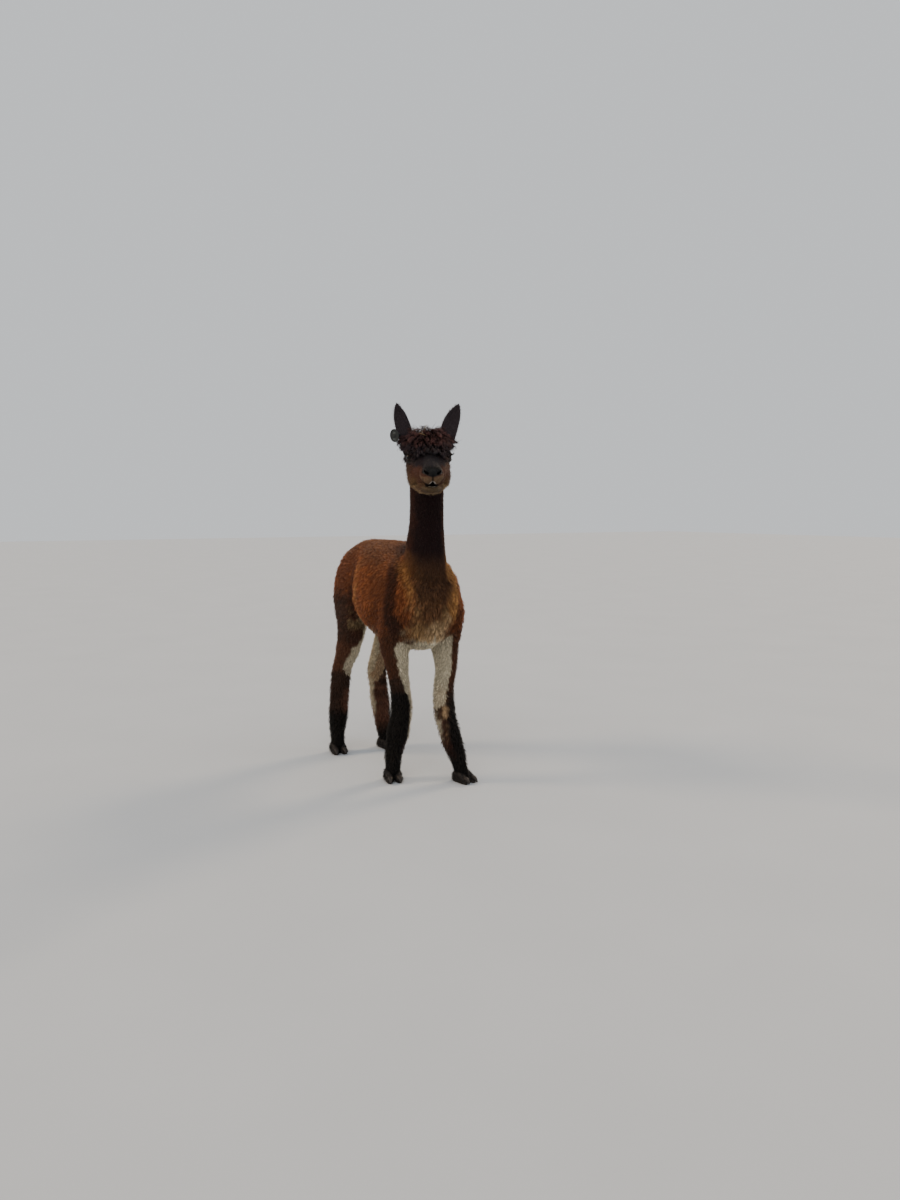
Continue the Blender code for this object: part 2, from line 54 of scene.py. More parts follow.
EYE_RADIUS = 0.0172
EYE_EASE = 0.0002  # how much smaller the ball is than its socket
EYE_PLACE = (0.010, 0.0620, 0.012)  # forward, sideways, up from the head's centre
EYE_GAZE = (0.52, 0.85, 0.06)
EAR_ROOT = (-0.072, 0.066, 0.052)
EAR_TIP = (-0.066, 0.110, 0.190)
EAR_OPENING = math.radians(14)
EAR_WALL = 0.0035
EAR_LIP = 0.0022

TAG_PLACE = (-0.058, -0.117, 0.079)
TAG_RADIUS = 0.023
TAG_THICKNESS = 0.0022

TOE_LENGTH = 0.084
TOE_WIDTH = 0.029
TOE_CLEFT = 0.004

SHOULDER_HEIGHT = 0.84  # where the neck leaves the trunk
SHOULDER_REACH = 0.28

BODY_GRAIN = 0.0065  # size of the hide's faces on the body
HEAD_GRAIN = 0.0023  # and on the head

# Rings of the trunk: place along the back, middle height, half width, reach up, reach down
TRUNK_RINGS = (
    (-0.388, 0.690, 0.024, 0.036, 0.040),
    (-0.374, 0.692, 0.064, 0.094, 0.084),
    (-0.338, 0.692, 0.112, 0.146, 0.138),
    (-0.280, 0.686, 0.146, 0.190, 0.172),
    (-0.200, 0.684, 0.163, 0.218, 0.186),
    (-0.100, 0.688, 0.166, 0.230, 0.188),
    (0.000, 0.696, 0.163, 0.227, 0.180),
    (0.080, 0.708, 0.151, 0.216, 0.165),
    (0.150, 0.724, 0.130, 0.200, 0.145),
    (0.230, 0.738, 0.121, 0.180, 0.125),
    (0.300, 0.735, 0.120, 0.160, 0.115),
    (0.355, 0.728, 0.104, 0.125, 0.106),
    (0.390, 0.720, 0.074, 0.090, 0.082),
    (0.408, 0.716, 0.032, 0.042, 0.040),
)

# Rings of the neck: x, y, z, half width, reach towards the nape, reach towards the throat
NECK_RINGS = (
    (0.000, -0.190, 0.620, 0.080, 0.080, 0.175),
    (-0.002, -0.232, 0.700, 0.108, 0.110, 0.158),
    (-0.008, -0.264, 0.780, 0.101, 0.108, 0.122),
    (-0.018, -0.290, 0.860, 0.079, 0.092, 0.100),
    (-0.0245, -0.314, 0.935, 0.0685, 0.080, 0.081),
    (-0.0325, -0.334, 1.020, 0.0625, 0.074, 0.073),
    (-0.0405, -0.350, 1.110, 0.0625, 0.073, 0.071),
    (-0.046, -0.358, 1.180, 0.068, 0.072, 0.068),
    (-0.048, -0.366, 1.240, 0.058, 0.056, 0.052),
)

# Levels of a front leg: height, half width, reach forward and reach back from the bone line
FRONT_LEVELS = (
    (0.830, 0.045, 0.050, 0.060),
    (0.750, 0.060, 0.088, 0.096),
    (0.660, 0.068, 0.096, 0.098),
    (0.580, 0.066, 0.080, 0.090),
    (0.510, 0.055, 0.064, 0.072),
    (0.430, 0.044, 0.050, 0.054),
    (0.350, 0.041, 0.045, 0.045),
    (0.290, 0.045, 0.051, 0.044),
    (0.230, 0.047, 0.047, 0.048),
    (0.160, 0.046, 0.045, 0.050),
    (0.095, 0.038, 0.041, 0.045),
    (0.055, 0.031, 0.038, 0.034),
    (0.020, 0.030, 0.038, 0.031),
)
HIND_LEVELS = (
    (0.870, 0.036, 0.045, 0.060),
    (0.820, 0.056, 0.085, 0.125),
    (0.760, 0.064, 0.100, 0.182),
    (0.690, 0.066, 0.078, 0.206),
    (0.610, 0.060, 0.046, 0.194),
    (0.530, 0.052, 0.047, 0.138),
    (0.450, 0.051, 0.051, 0.084),
    (0.390, 0.047, 0.050, 0.061),
    (0.335, 0.043, 0.048, 0.057),
    (0.270, 0.045, 0.047, 0.046),
    (0.180, 0.045, 0.045, 0.048),
    (0.095, 0.037, 0.041, 0.045),
    (0.055, 0.031, 0.038, 0.034),
    (0.020, 0.030, 0.038, 0.031),
)

# Bone line of each leg as (height, x, y), from the top down, and the way its toes point
LEG_LINES = {
    "front_right": (
        ((0.83, -0.080, -0.175), (0.68, -0.098, -0.222), (0.53, -0.092, -0.182),
         (0.29, -0.078, -0.210), (0.095, -0.106, -0.198), (0.02, -0.117, -0.206)),
        math.radians(14),
    ),
    "front_left": (
        ((0.83, 0.082, -0.180), (0.68, 0.102, -0.236), (0.53, 0.102, -0.230),
         (0.42, 0.090, -0.262), (0.29, 0.058, -0.300), (0.095, 0.097, -0.336), (0.02, 0.110, -0.352)),
        math.radians(-10),
    ),
    "hind_right": (
        ((0.87, -0.062, 0.240), (0.61, -0.092, 0.168), (0.45, -0.098, 0.240), (0.335, -0.113, 0.296),
         (0.095, -0.136, 0.284), (0.02, -0.141, 0.276)),
        math.radians(8),
    ),
    "hind_left": (
        ((0.87, 0.062, 0.240), (0.61, 0.090, 0.158), (0.45, 0.079, 0.245), (0.335, 0.066, 0.308),
         (0.095, 0.073, 0.264), (0.02, 0.076, 0.252)),
        math.radians(-10),
    ),
}

# Rings of the tail: x, y, z, half width, reach outwards, reach towards the rump
TAIL_RINGS = (
    (0.000, 0.340, 0.806, 0.016, 0.012, 0.012),
    (0.000, 0.395, 0.806, 0.019, 0.013, 0.012),
    (0.002, 0.426, 0.778, 0.020, 0.012, 0.010),
    (0.004, 0.438, 0.730, 0.019, 0.011, 0.009),
    (0.006, 0.437, 0.690, 0.014, 0.009, 0.008),
    (0.006, 0.434, 0.664, 0.006, 0.004, 0.004),
)

# Rings of the bare head: forward, height of the middle, half width, reach up, reach down
SKULL_RINGS = (
    (-0.118, 0.006, 0.026, 0.026, 0.034),
    (-0.102, 0.004, 0.052, 0.060, 0.064),
    (-0.062, -0.008, 0.068, 0.092, 0.084),
    (-0.016, -0.022, 0.074, 0.096, 0.082),
    (0.028, -0.028, 0.068, 0.080, 0.078),
    (0.062, -0.028, 0.058, 0.060, 0.068),
    (0.092, -0.030, 0.048, 0.046, 0.058),
    (0.112, -0.032, 0.034, 0.030, 0.040),
)
NOSE_RINGS = (
    (0.020, -0.012, 0.036, 0.052, 0.040),
    (0.060, -0.020, 0.042, 0.047, 0.038),
    (0.096, -0.024, 0.0425, 0.043, 0.035),
    (0.122, -0.027, 0.0405, 0.037, 0.031),
    (0.140, -0.031, 0.0365, 0.032, 0.0265),
    (0.1520, -0.034, 0.0275, 0.024, 0.020),
    (0.1575, -0.035, 0.014, 0.012, 0.010),
)
JAW_RINGS = (
    (0.010, -0.080, 0.052, 0.024, 0.026),
    (0.055, -0.078, 0.047, 0.020, 0.024),
    (0.096, -0.0760, 0.039, 0.012, 0.018),
    (0.122, -0.0750, 0.031, 0.0085, 0.0135),
    (0.139, -0.0755, 0.023, 0.0070, 0.0105),
    (0.1480, -0.0755, 0.011, 0.0045, 0.0055),
)

# Rings of an ear: share of its length, half width, depth of the back
EAR_RINGS = (
    (-0.10, 0.0200, 0.0150),
    (0.00, 0.0245, 0.0165),
    (0.16, 0.0295, 0.0195),
    (0.36, 0.0312, 0.0195),
    (0.54, 0.0294, 0.0175),
    (0.72, 0.0238, 0.0135),
    (0.87, 0.0145, 0.0090),
    (0.96, 0.0068, 0.0052),
)

# ---------------------------------------------------------------- shaping helpers


def activate(piece):
    bpy.ops.object.select_all(action="DESELECT")
    piece.select_set(True)
    bpy.context.view_layer.objects.active = piece


def new_piece(name, points, faces):
    mesh = bpy.data.meshes.new(name)
    mesh.from_pydata([tuple(p) for p in points], [], faces)
    made = bpy.data.objects.new(name, mesh)
    bpy.context.scene.collection.objects.link(made)
    return made


def worked(piece, kind, **settings):
    """Puts one modifier on the piece and applies it."""
    activate(piece)
    tool = piece.modifiers.new(kind.title(), kind)
    for setting, value in settings.items():
        setattr(tool, setting, value)
    bpy.ops.object.modifier_apply(modifier=tool.name)
    return piece


def joined(pieces):
    activate(pieces[0])
    for piece in pieces:
        piece.select_set(True)
    bpy.ops.object.join()
    return pieces[0]


def named(piece, name):
    piece.name = piece.data.name = name
    return piece


def smoothed(piece, angle=None):
    """Smooth shading all over, or only across edges that bend by less than an angle in degrees."""
    activate(piece)
    if angle:
        bpy.ops.object.shade_smooth_by_angle(angle=math.radians(angle))
    else:
        bpy.ops.object.shade_smooth()
    return piece


def faced_outwards(piece):
    """Turns the faces of a closed form outwards."""
    activate(piece)
    bpy.ops.object.mode_set(mode="EDIT")
    bpy.ops.mesh.select_all(action="SELECT")
    bpy.ops.mesh.normals_make_consistent(inside=False)
    bpy.ops.object.mode_set(mode="OBJECT")
    return piece


def carved(piece, cutter, operation):
    """A Boolean with a closed cutter, which is used up."""
    worked(piece, "BOOLEAN", operation=operation, object=cutter, solver="MANIFOLD")
    bpy.data.objects.remove(cutter)
    return piece


def points_of(piece):
    found = np.empty(len(piece.data.vertices) * 3)
    piece.data.vertices.foreach_get("co", found)
    return found.reshape(-1, 3)


def normals_of(piece):
    found = np.empty(len(piece.data.vertices) * 3)
    piece.data.vertex_normals.foreach_get("vector", found)
    return found.reshape(-1, 3)


def set_points(piece, points):
    piece.data.vertices.foreach_set("co", np.ascontiguousarray(points, float).ravel())
    piece.data.update()


def eased(rows, steps):
    """Rows of numbers with more rows between them, on a Catmull-Rom curve."""
    rows = np.array(rows, float)
    padded = np.vstack([2 * rows[0] - rows[1], rows, 2 * rows[-1] - rows[-2]])
    found = []
    for i in range(1, len(rows)):
        a, b, c, d = padded[i - 1 : i + 3]
        for t in np.arange(steps) / steps:
            found.append(
                0.5 * (2 * b + (c - a) * t + (2 * a - 5 * b + 4 * c - d) * t**2
                       + (3 * b - a - 3 * c + d) * t**3)
            )
    return np.array(found + [rows[-1]])


def oval(centre, side_axis, up_axis, side, up, down, around, fullness=2.1, keel=0.0, ridge=0.0):
    """Points of an oval with its own reach up and down; keel and ridge narrow its foot and its top."""
    angle = 2 * np.pi * np.arange(around) / around
    c, s = np.cos(angle), np.sin(angle)
    across = side * np.sign(c) * np.abs(c) ** (2 / fullness)
    across = across * np.where(s < 0, 1 - keel * np.abs(s) ** 1.5, 1 - ridge * np.abs(s))
    along = np.where(s > 0, up, down) * np.sign(s) * np.abs(s) ** (2 / fullness)
    return np.array(centre) + across[:, None] * np.array(side_axis) + along[:, None] * np.array(up_axis)


def lofted(name, rings):
    """A closed form through rings of equal count, with a fan at each end."""
    count = len(rings[0])
    points = np.vstack(rings + [rings[0].mean(0)[None], rings[-1].mean(0)[None]])
    faces = []
    for r in range(len(rings) - 1):
        for k in range(count):
            n = (k + 1) % count
            faces.append((r * count + k, r * count + n, (r + 1) * count + n, (r + 1) * count + k))
    first = len(rings) * count
    last = (len(rings) - 1) * count
    for k in range(count):
        n = (k + 1) % count
        faces.append((n, k, first))
        faces.append((last + k, last + n, first + 1))
    return faced_outwards(new_piece(name, points, faces))


def path_form(name, rows, hint, around=28, steps=4):
    """A loft whose rings stand square to the line through their middles. hint is the way up."""
    rows = eased(rows, steps)
    tangents = np.gradient(rows[:, :3], axis=0)
    rings = []
    for row, tangent in zip(rows, tangents):
        side_axis = np.cross(tangent, hint)
        side_axis /= np.linalg.norm(side_axis)
        up_axis = np.cross(side_axis, tangent / np.linalg.norm(tangent))
        rings.append(oval(row[:3] + HOME, side_axis, up_axis, row[3], row[4], row[5], around))
    return lofted(name, rings)


TURNED = Matrix.Rotation(-HEAD_TURN, 3, "Z") @ Matrix.Rotation(HEAD_PITCH, 3, "X")
AHEAD, LEFT, ABOVE = (np.array(TURNED @ Vector(v)) for v in ((0, -1, 0), (1, 0, 0), (0, 0, 1)))


def head_point(forward, sideways, up):
    return HEAD_CENTRE + forward * AHEAD + sideways * LEFT + up * ABOVE


def head_places(points):
    """Forward, sideways and up of points, from the head's centre."""
    away = points - HEAD_CENTRE
    return away @ AHEAD, away @ LEFT, away @ ABOVE


def head_form(name, rows, around=36, fullness=2.15, ridge=0.0):
    rings = []
    for forward, height, side, up, down in eased(rows, 5):
        centre = head_point(forward, 0, height)
        rings.append(oval(centre, LEFT, ABOVE, side, up, down, around, fullness, 0.0, ridge))
    return lofted(name, rings)


def ball_form(name, centre, sizes, axes=(AHEAD, LEFT, ABOVE)):
    """A ball drawn out along three axes."""
    bpy.ops.mesh.primitive_uv_sphere_add(segments=32, ring_count=20, radius=1.0)
    made = bpy.context.active_object
    made.name = name
    points = points_of(made)
    set_points(made, centre + sum(points[:, k : k + 1] * sizes[k] * np.array(axes[k]) for k in range(3)))
    return faced_outwards(made)


def soft(value, low, high):
    """0 below low and 1 above high, smoothly between; high may be the lower number."""
    t = np.clip((value - low) / (high - low), 0.0, 1.0)
    return t * t * (3 - 2 * t)


def unit(rows):
    return rows / np.maximum(np.linalg.norm(rows, axis=-1, keepdims=True), 1e-9)


def drift(points, size, seed, waves=7):
    """Smooth unevenness from -1 to 1 whose patches are about size across."""
    rng = np.random.default_rng(seed)
    total = np.zeros(len(points))
    for _ in range(waves):
        way = unit(rng.normal(size=3)) * 2 * np.pi / size * rng.uniform(0.35, 0.75)
        total += np.sin(points @ way + rng.uniform(0, 2 * np.pi))
    return np.clip(total / math.sqrt(waves) * 0.9, -1, 1)


# ---------------------------------------------------------------- the hide


def leg_line(leg):
    rows = eased(LEG_LINES[leg][0], 6)[::-1]
    return lambda z: (np.interp(z, rows[:, 0], rows[:, 1]), np.interp(z, rows[:, 0], rows[:, 2]))


def body_form():
    """Trunk, neck and legs as one smooth closed form, out to the tips of the coat."""
    rings = []
    for y, z, side, up, down in eased(TRUNK_RINGS, 3):
        keel = 0.35 * min(1.0, max(0.0, (-0.05 - y) / 0.25))
        rings.append(oval(HOME + (0, y, z), (1, 0, 0), (0, 0, 1), side, up, down, 32, 2.15, keel))
    forms = [lofted("trunk_form", rings), path_form("neck_form", NECK_RINGS[:-1], (0, 1, 0))]
    for leg in LEG_LINES:
        line = leg_line(leg)
        rings = []
        for z, side, forward, back in eased(FRONT_LEVELS if leg.startswith("front") else HIND_LEVELS, 3):
            x, y = line(z)
            rings.append(oval(HOME + (x, y, z), (1, 0, 0), (0, 1, 0), side, back, forward, 20))
        forms.append(lofted(leg + "_form", rings))
    body = joined(forms)
    worked(body, "REMESH", mode="VOXEL", voxel_size=BODY_GRAIN)
    worked(body, "SMOOTH", factor=0.5, iterations=18)
    return body


def above_shoulders(points):
    """How far points lie beyond the sloping plane where the neck leaves the trunk."""
    _, y, z = (points - HOME).T
    return 0.8 * (z - SHOULDER_HEIGHT) - 0.6 * (y + SHOULDER_REACH)


def coat_depth(points):
    """How far the hide lies under the tips of the coat on trunk, neck and legs."""
    z = points[:, 2]
    on_neck = soft(above_shoulders(points), 0.0, 0.07)
    on_leg = soft(z, 0.58, 0.50)
    shin = soft(z, 0.34, 0.26)
    depth = 0.0125 * (1 - on_neck) + 0.0055 * on_neck
    depth = depth * (1 - on_leg) + on_leg * (0.0065 * (1 - shin) + 0.0100 * shin)
    return depth * (1 - soft(z, 0.09, 0.04)) + 0.004 * soft(z, 0.09, 0.04)


def ear_ends(sign):
    """Middle of an ear's root, and its tip. sign is 1 on the animal's left and -1 on its right."""
    return [head_point(forward, sign * sideways, up) for forward, sideways, up in (EAR_ROOT, EAR_TIP)]


def ear_axes(sign):
    """Root, tip and the ways along, across and to the back of an ear."""
    root, tip = ear_ends(sign)
    along = unit(tip - root)
    opening = math.cos(EAR_OPENING) * AHEAD + math.sin(EAR_OPENING) * sign * LEFT
    side_axis = unit(np.cross(along, opening))
    back_axis = unit(np.cross(side_axis, along))
    if back_axis @ opening > 0:
        back_axis = -back_axis
    return root, tip, along, side_axis, back_axis


def ear_form(sign):
    """A thin pointed cup, open to the front."""
    root, tip, along, side_axis, back_axis = ear_axes(sign)
    angle = 2 * np.pi * np.arange(40) / 40
    c, s = np.cos(angle), np.sin(angle)
    rings = []
    for share, side, back in eased(EAR_RINGS, 5):
        bow = 0.010 * math.sin(math.pi * max(share, 0.0)) - 0.001
        # the tagged ear is rolled a little narrower on its inner side
        narrow = 0.13 * side * soft(share, 0.0, 0.2) if sign < 0 else 0.0
        side = side - narrow
        centre = root + share * (tip - root) + bow * back_axis - narrow * side_axis
        hollow = max(back - EAR_WALL, 0.0) * min(1.0, (share + 0.16) / 0.3)
        reach = np.where(s >= 0, back * s, hollow * -s)
        across = np.where(s >= 0, side, side - EAR_LIP) * c
        # the cup's lips turn a little inwards near the root, as a rolled leaf does
        roll = 0.006 * (1 - soft(share, 0.0, 0.5)) * np.abs(c) ** 6
        rings.append(centre + across[:, None] * side_axis + (reach - roll)[:, None] * back_axis)
    rings.append(tip + 0.25 * (rings[-1] - tip) + 0.002 * along)
    return lofted("ear_form", rings)


def nostril_form(sign):
    """A slit that curls up and out from the middle of the nose, with tapered ends."""
    rows = eased(
        (
            (0.1500, 0.0085, -0.0232, 0.0012), (0.1490, 0.0125, -0.0222, 0.0030),
            (0.1470, 0.0175, -0.0198, 0.0042), (0.1440, 0.0225, -0.0160, 0.0041),
            (0.1405, 0.0265, -0.0115, 0.0027), (0.1375, 0.0288, -0.0075, 0.0010),
        ),
        4,
    )
    middles = np.array([head_point(f, sign * s, u) for f, s, u, _ in rows])
    rings = []
    for middle, tangent, thick in zip(middles, np.gradient(middles, axis=0), rows[:, 3]):
        inward = unit(AHEAD - (AHEAD @ unit(tangent)) * unit(tangent))
        rings.append(oval(middle, unit(np.cross(tangent, inward)), inward, thick, 0.0070, 0.0070, 16))
    return lofted("nostril", rings)


def eye_middle(sign):
    return head_point(EYE_PLACE[0], sign * EYE_PLACE[1], EYE_PLACE[2])


def eye_axes(sign):
    """Where an eye looks, and the ways along and across its slit."""
    gaze = unit(EYE_GAZE[0] * AHEAD + sign * EYE_GAZE[1] * LEFT + EYE_GAZE[2] * ABOVE)
    along = unit(AHEAD - (AHEAD @ gaze) * gaze - 0.10 * ABOVE)
    return gaze, along, unit(np.cross(gaze, along))


def head_skin():
    """The head down to the upper neck, with lids, nostrils, lips and jaw."""
    forms = [head_form("skull_form", SKULL_RINGS), head_form("nose_form", NOSE_RINGS, 40, 2.25, 0.34)]
    forms.append(head_form("jaw_form", JAW_RINGS, 32, 2.2))
    rows = [list(row) for row in NECK_RINGS[4:]]
    for row in rows:
        for k in (3, 4, 5):
            row[k] -= 0.0075
    forms.append(path_form("throat_form", rows, (0, 1, 0), 40, 6))
    for sign in (-1, 1):
        eye = eye_middle(sign)
        forms.append(ball_form("lid_form", eye, [EYE_RADIUS + 0.0034] * 3))
        brow = head_point(EYE_PLACE[0] - 0.002, sign * (EYE_PLACE[1] - 0.005), EYE_PLACE[2] + 0.0185)
        forms.append(ball_form("brow_form", brow, (0.027, 0.014, 0.0085)))
        forms.append(ball_form("cheek_form", head_point(0.024, sign * 0.052, -0.050), (0.050, 0.021, 0.034)))
        root = head_point(EAR_ROOT[0] + 0.002, sign * (EAR_ROOT[1] - 0.010), EAR_ROOT[2] + 0.002)
        forms.append(ball_form("ear_base_form", root, (0.025, 0.024, 0.026)))
        wing = head_point(0.133, sign * 0.0195, -0.0115)
        forms.append(ball_form("nostril_wing", wing, (0.0200, 0.0125, 0.0120)))
    head = joined(forms)
    worked(head, "REMESH", mode="VOXEL", voxel_size=0.0024)
    worked(head, "SMOOTH", factor=0.5, iterations=8)
    for sign in (-1, 1):
        eye = eye_middle(sign)
        gaze, along, across = eye_axes(sign)
        slit = ball_form("slit", eye + 0.0175 * gaze, (0.0178, 0.0116, 0.0125), (along, across, gaze))
        carved(head, slit, "DIFFERENCE")
        carved(head, nostril_form(sign), "DIFFERENCE")
    carved(head, ball_form("mouth", head_point(0.146, 0.0, -0.0615), (0.018, 0.0175, 0.0048)), "DIFFERENCE")
    carved(head, ball_form("notch", head_point(0.148, 0.0, -0.0560), (0.020, 0.0080, 0.0080)), "DIFFERENCE")
    worked(head, "REMESH", mode="VOXEL", voxel_size=HEAD_GRAIN)
    worked(head, "SMOOTH", factor=0.5, iterations=2)
    shape_face(head)
    return head


def bump_of(f, s, u, place, spread):
    """A soft mound of height 1 at a place of the head, as wide as spread each way."""
    return np.exp(-sum(((a - b) / c) ** 2 for a, b, c in zip((f, s, u), place, spread)))


def shape_face(head):
    """Moves the fine skin of the face in and out: split lip, lobes, chin, folds and hollows."""
    points, normals = points_of(head), normals_of(head)
    f, s, u = head_places(points)
    side = np.abs(s)
    out = np.zeros(len(points))
    cleft = soft(f, 0.125, 0.142) * soft(u, -0.064, -0.054) * soft(u, -0.020, -0.030)
    out -= 0.0042 * np.exp(-((s / 0.0022) ** 2)) * cleft
    for height, place, spread in (
        (0.0042, (0.148, 0.0140, -0.0430), (0.022, 0.0100, 0.0120)),
        (0.0020, (0.152, 0.0000, -0.0120), (0.012, 0.0110, 0.0070)),
        (-0.0022, (0.150, 0.0150, -0.0275), (0.014, 0.0150, 0.0024)),
        (-0.0030, (0.090, 0.0360, 0.0020), (0.030, 0.0120, 0.0110)),
        (-0.0028, (0.050, 0.0560, -0.0130), (0.030, 0.0120, 0.0060)),
        (0.0022, (0.140, 0.0000, -0.0840), (0.016, 0.0160, 0.0080)),
        (-0.0022, (0.142, 0.0310, -0.0450), (0.014, 0.0026, 0.0120)),
    ):
        out += height * bump_of(f, side, u, place, spread)
    # the lips' line back to the corner of the mouth, and two soft folds behind it
    line = -0.0620 + 0.05 * (0.125 - f)
    out -= 0.0026 * np.exp(-(((u - line) / 0.0020) ** 2)) * soft(f, 0.084, 0.094) * soft(side, 0.024, 0.030)
    for k, back in enumerate((0.078, 0.068)):
        bend = back + 45 * (u + 0.060) ** 2
        between = soft(u, -0.088, -0.074) * soft(u, -0.034, -0.044)
        out -= 0.0012 * (1 - 0.3 * k) * np.exp(-(((f - bend) / 0.0024) ** 2)) * between
    # creases over and under the eye
    for sign in (-1, 1):
        eye = eye_middle(sign)
        gaze, along, across = eye_axes(sign)
        away = points - eye
        reach = np.sqrt((away @ along / 1.45) ** 2 + (away @ across) ** 2)
        near = soft(away @ gaze, 0.002, 0.010)
        out -= 0.0012 * near * np.exp(-(((reach - 0.0150) / 0.0013) ** 2))
        out += 0.0010 * near * np.exp(-(((reach - 0.0122) / 0.0014) ** 2))
    out += 0.0003 * drift(points, 0.009, 5)
    set_points(head, points + out[:, None] * normals)


def hide():
    """The one skin of the whole animal."""
    body = body_form()
    points = points_of(body)
    set_points(body, points - coat_depth(points)[:, None] * normals_of(body))
    wrinkle_joints(body)
    carved(body, path_form("tail_form", TAIL_RINGS, (0, 1, 0.3), 24, 5), "UNION")
    carved(body, head_skin(), "UNION")
    for sign in (-1, 1):
        carved(body, ear_form(sign), "UNION")
    return named(worked(body, "TRIANGULATE"), "hide")


def wrinkle_joints(body):
    """Bands of slack skin at the hocks and pasterns, and the long tendons of the shins."""
    points, normals = points_of(body), normals_of(body)
    x, y, z = (points - HOME).T
    hind = soft(y, 0.05, 0.12)
    band = np.sin((z + 0.25 * y + 0.10 * x) * 2 * np.pi / 0.027 + 2.2 * drift(points, 0.08, 8))
    at_hock = np.exp(-((z - 0.335) / 0.045) ** 2) * hind
    at_knee = np.exp(-((z - 0.285) / 0.030) ** 2) * (1 - hind)
    out = 0.0016 * band * at_hock + 0.0010 * band * at_knee
    out += 0.0015 * drift(points, 0.075, 9) * soft(z, 0.62, 0.50)
    out += 0.0022 * drift(points, 0.110, 10) * soft(z, 0.50, 0.60) * soft(z, 1.00, 0.90)
    set_points(body, points + out[:, None] * normals)


# ---------------------------------------------------------------- markings

# Colours of the coat as sRGB, by where they lie
COAT = {
    "back": "66412A",
    "flank": "824B2B",
    "shadow": "2E1913",
    # painted rim light: the gold laid along edges of the coat
    "rim": "AE804C",
    "rump": "6C3F28",
    "thigh": "3C261C",
    "patch": "776549",
    "neck": "271617",
    "nape": "4C2A1E",
    "throat": "68482F",
    "chest": "967650",
    "bib": "BCA07C",
    "cream": "CEC2A8",
    "belly": "A8987B",
    "forearm": "50301F",
    "shin": "0D0A09",
    "hock": "36241B",
    "shank": "644233",
    "calf": "3A1D14",
    "gaskin": "5C3A28",
    "foot": "0F0C0B",
    "stocking": "A28466",
    "crown": "261D25",
    "crown_tip": "50302C",
    "crown_side": "4F3A2C",
    "brow": "231B20",
    # the dark bridge of the nose, its grey cast a painted highlight along the top
    "bridge": "2B272A",
    "cheek": "4F3125",
    "jowl": "70553A",
    "lip": "705944",
    "chin": "5C4C39",
    "wisp": "A38C66",
    "leather": "060505",
    # the ears' dark fur, with a blue-grey cast that is painted sky sheen
    "ear": "4A4145",
    "ear_rim": "6A5E60",
    "mouth": "0B0606",
    # painted highlight on the moist edges of the split upper lip
    "wet_lip_highlight": "968F88",
    "straw": "B79B6C",
}


def light_of(code):
    """sRGB hex to linear light."""
    channels = np.array([int(code[i : i + 2], 16) / 255 for i in (0, 2, 4)])
    return np.where(channels <= 0.04045, channels / 12.92, ((channels + 0.055) / 1.055) ** 2.4)


COAT_LIGHT = {name: light_of(code) for name, code in COAT.items()}


def washed(colours, name, share):
    """The colours with a wash of a named one over them, as strong as share."""
    share = np.reshape(np.clip(share, 0, 1), (-1, 1))
    return colours * (1 - share) + COAT_LIGHT[name] * share


def layered(colours, washes):
    """The colours under several washes, each given as a name and a share."""
    for name, share in washes:
        colours = washed(colours, name, share)
    return colours


def head_share(points):
    place = points - HOME - np.array((-0.060, -0.360, 1.170))
    return soft(place @ unit(np.array((-0.10, -0.68, 0.73))), -0.012, 0.012)


def ear_share(points):
    """How far up an ear a point lies, from 0 at its root, and which ear: -1, 1, or 0 for neither."""
    share = np.zeros(len(points))
    which = np.zeros(len(points), int)
    for sign in (-1, 1):
        root, tip = ear_ends(sign)
        along = unit(tip - root)
        away = points - root
        up = away @ along / np.linalg.norm(tip - root)
        off = np.linalg.norm(away - (away @ along)[:, None] * along, axis=1)
        on = (up > 0.12) & (off < 0.050) & (up < 1.2)
        share = np.where(on, up, share)
        which = np.where(on, sign, which)
    return share, which


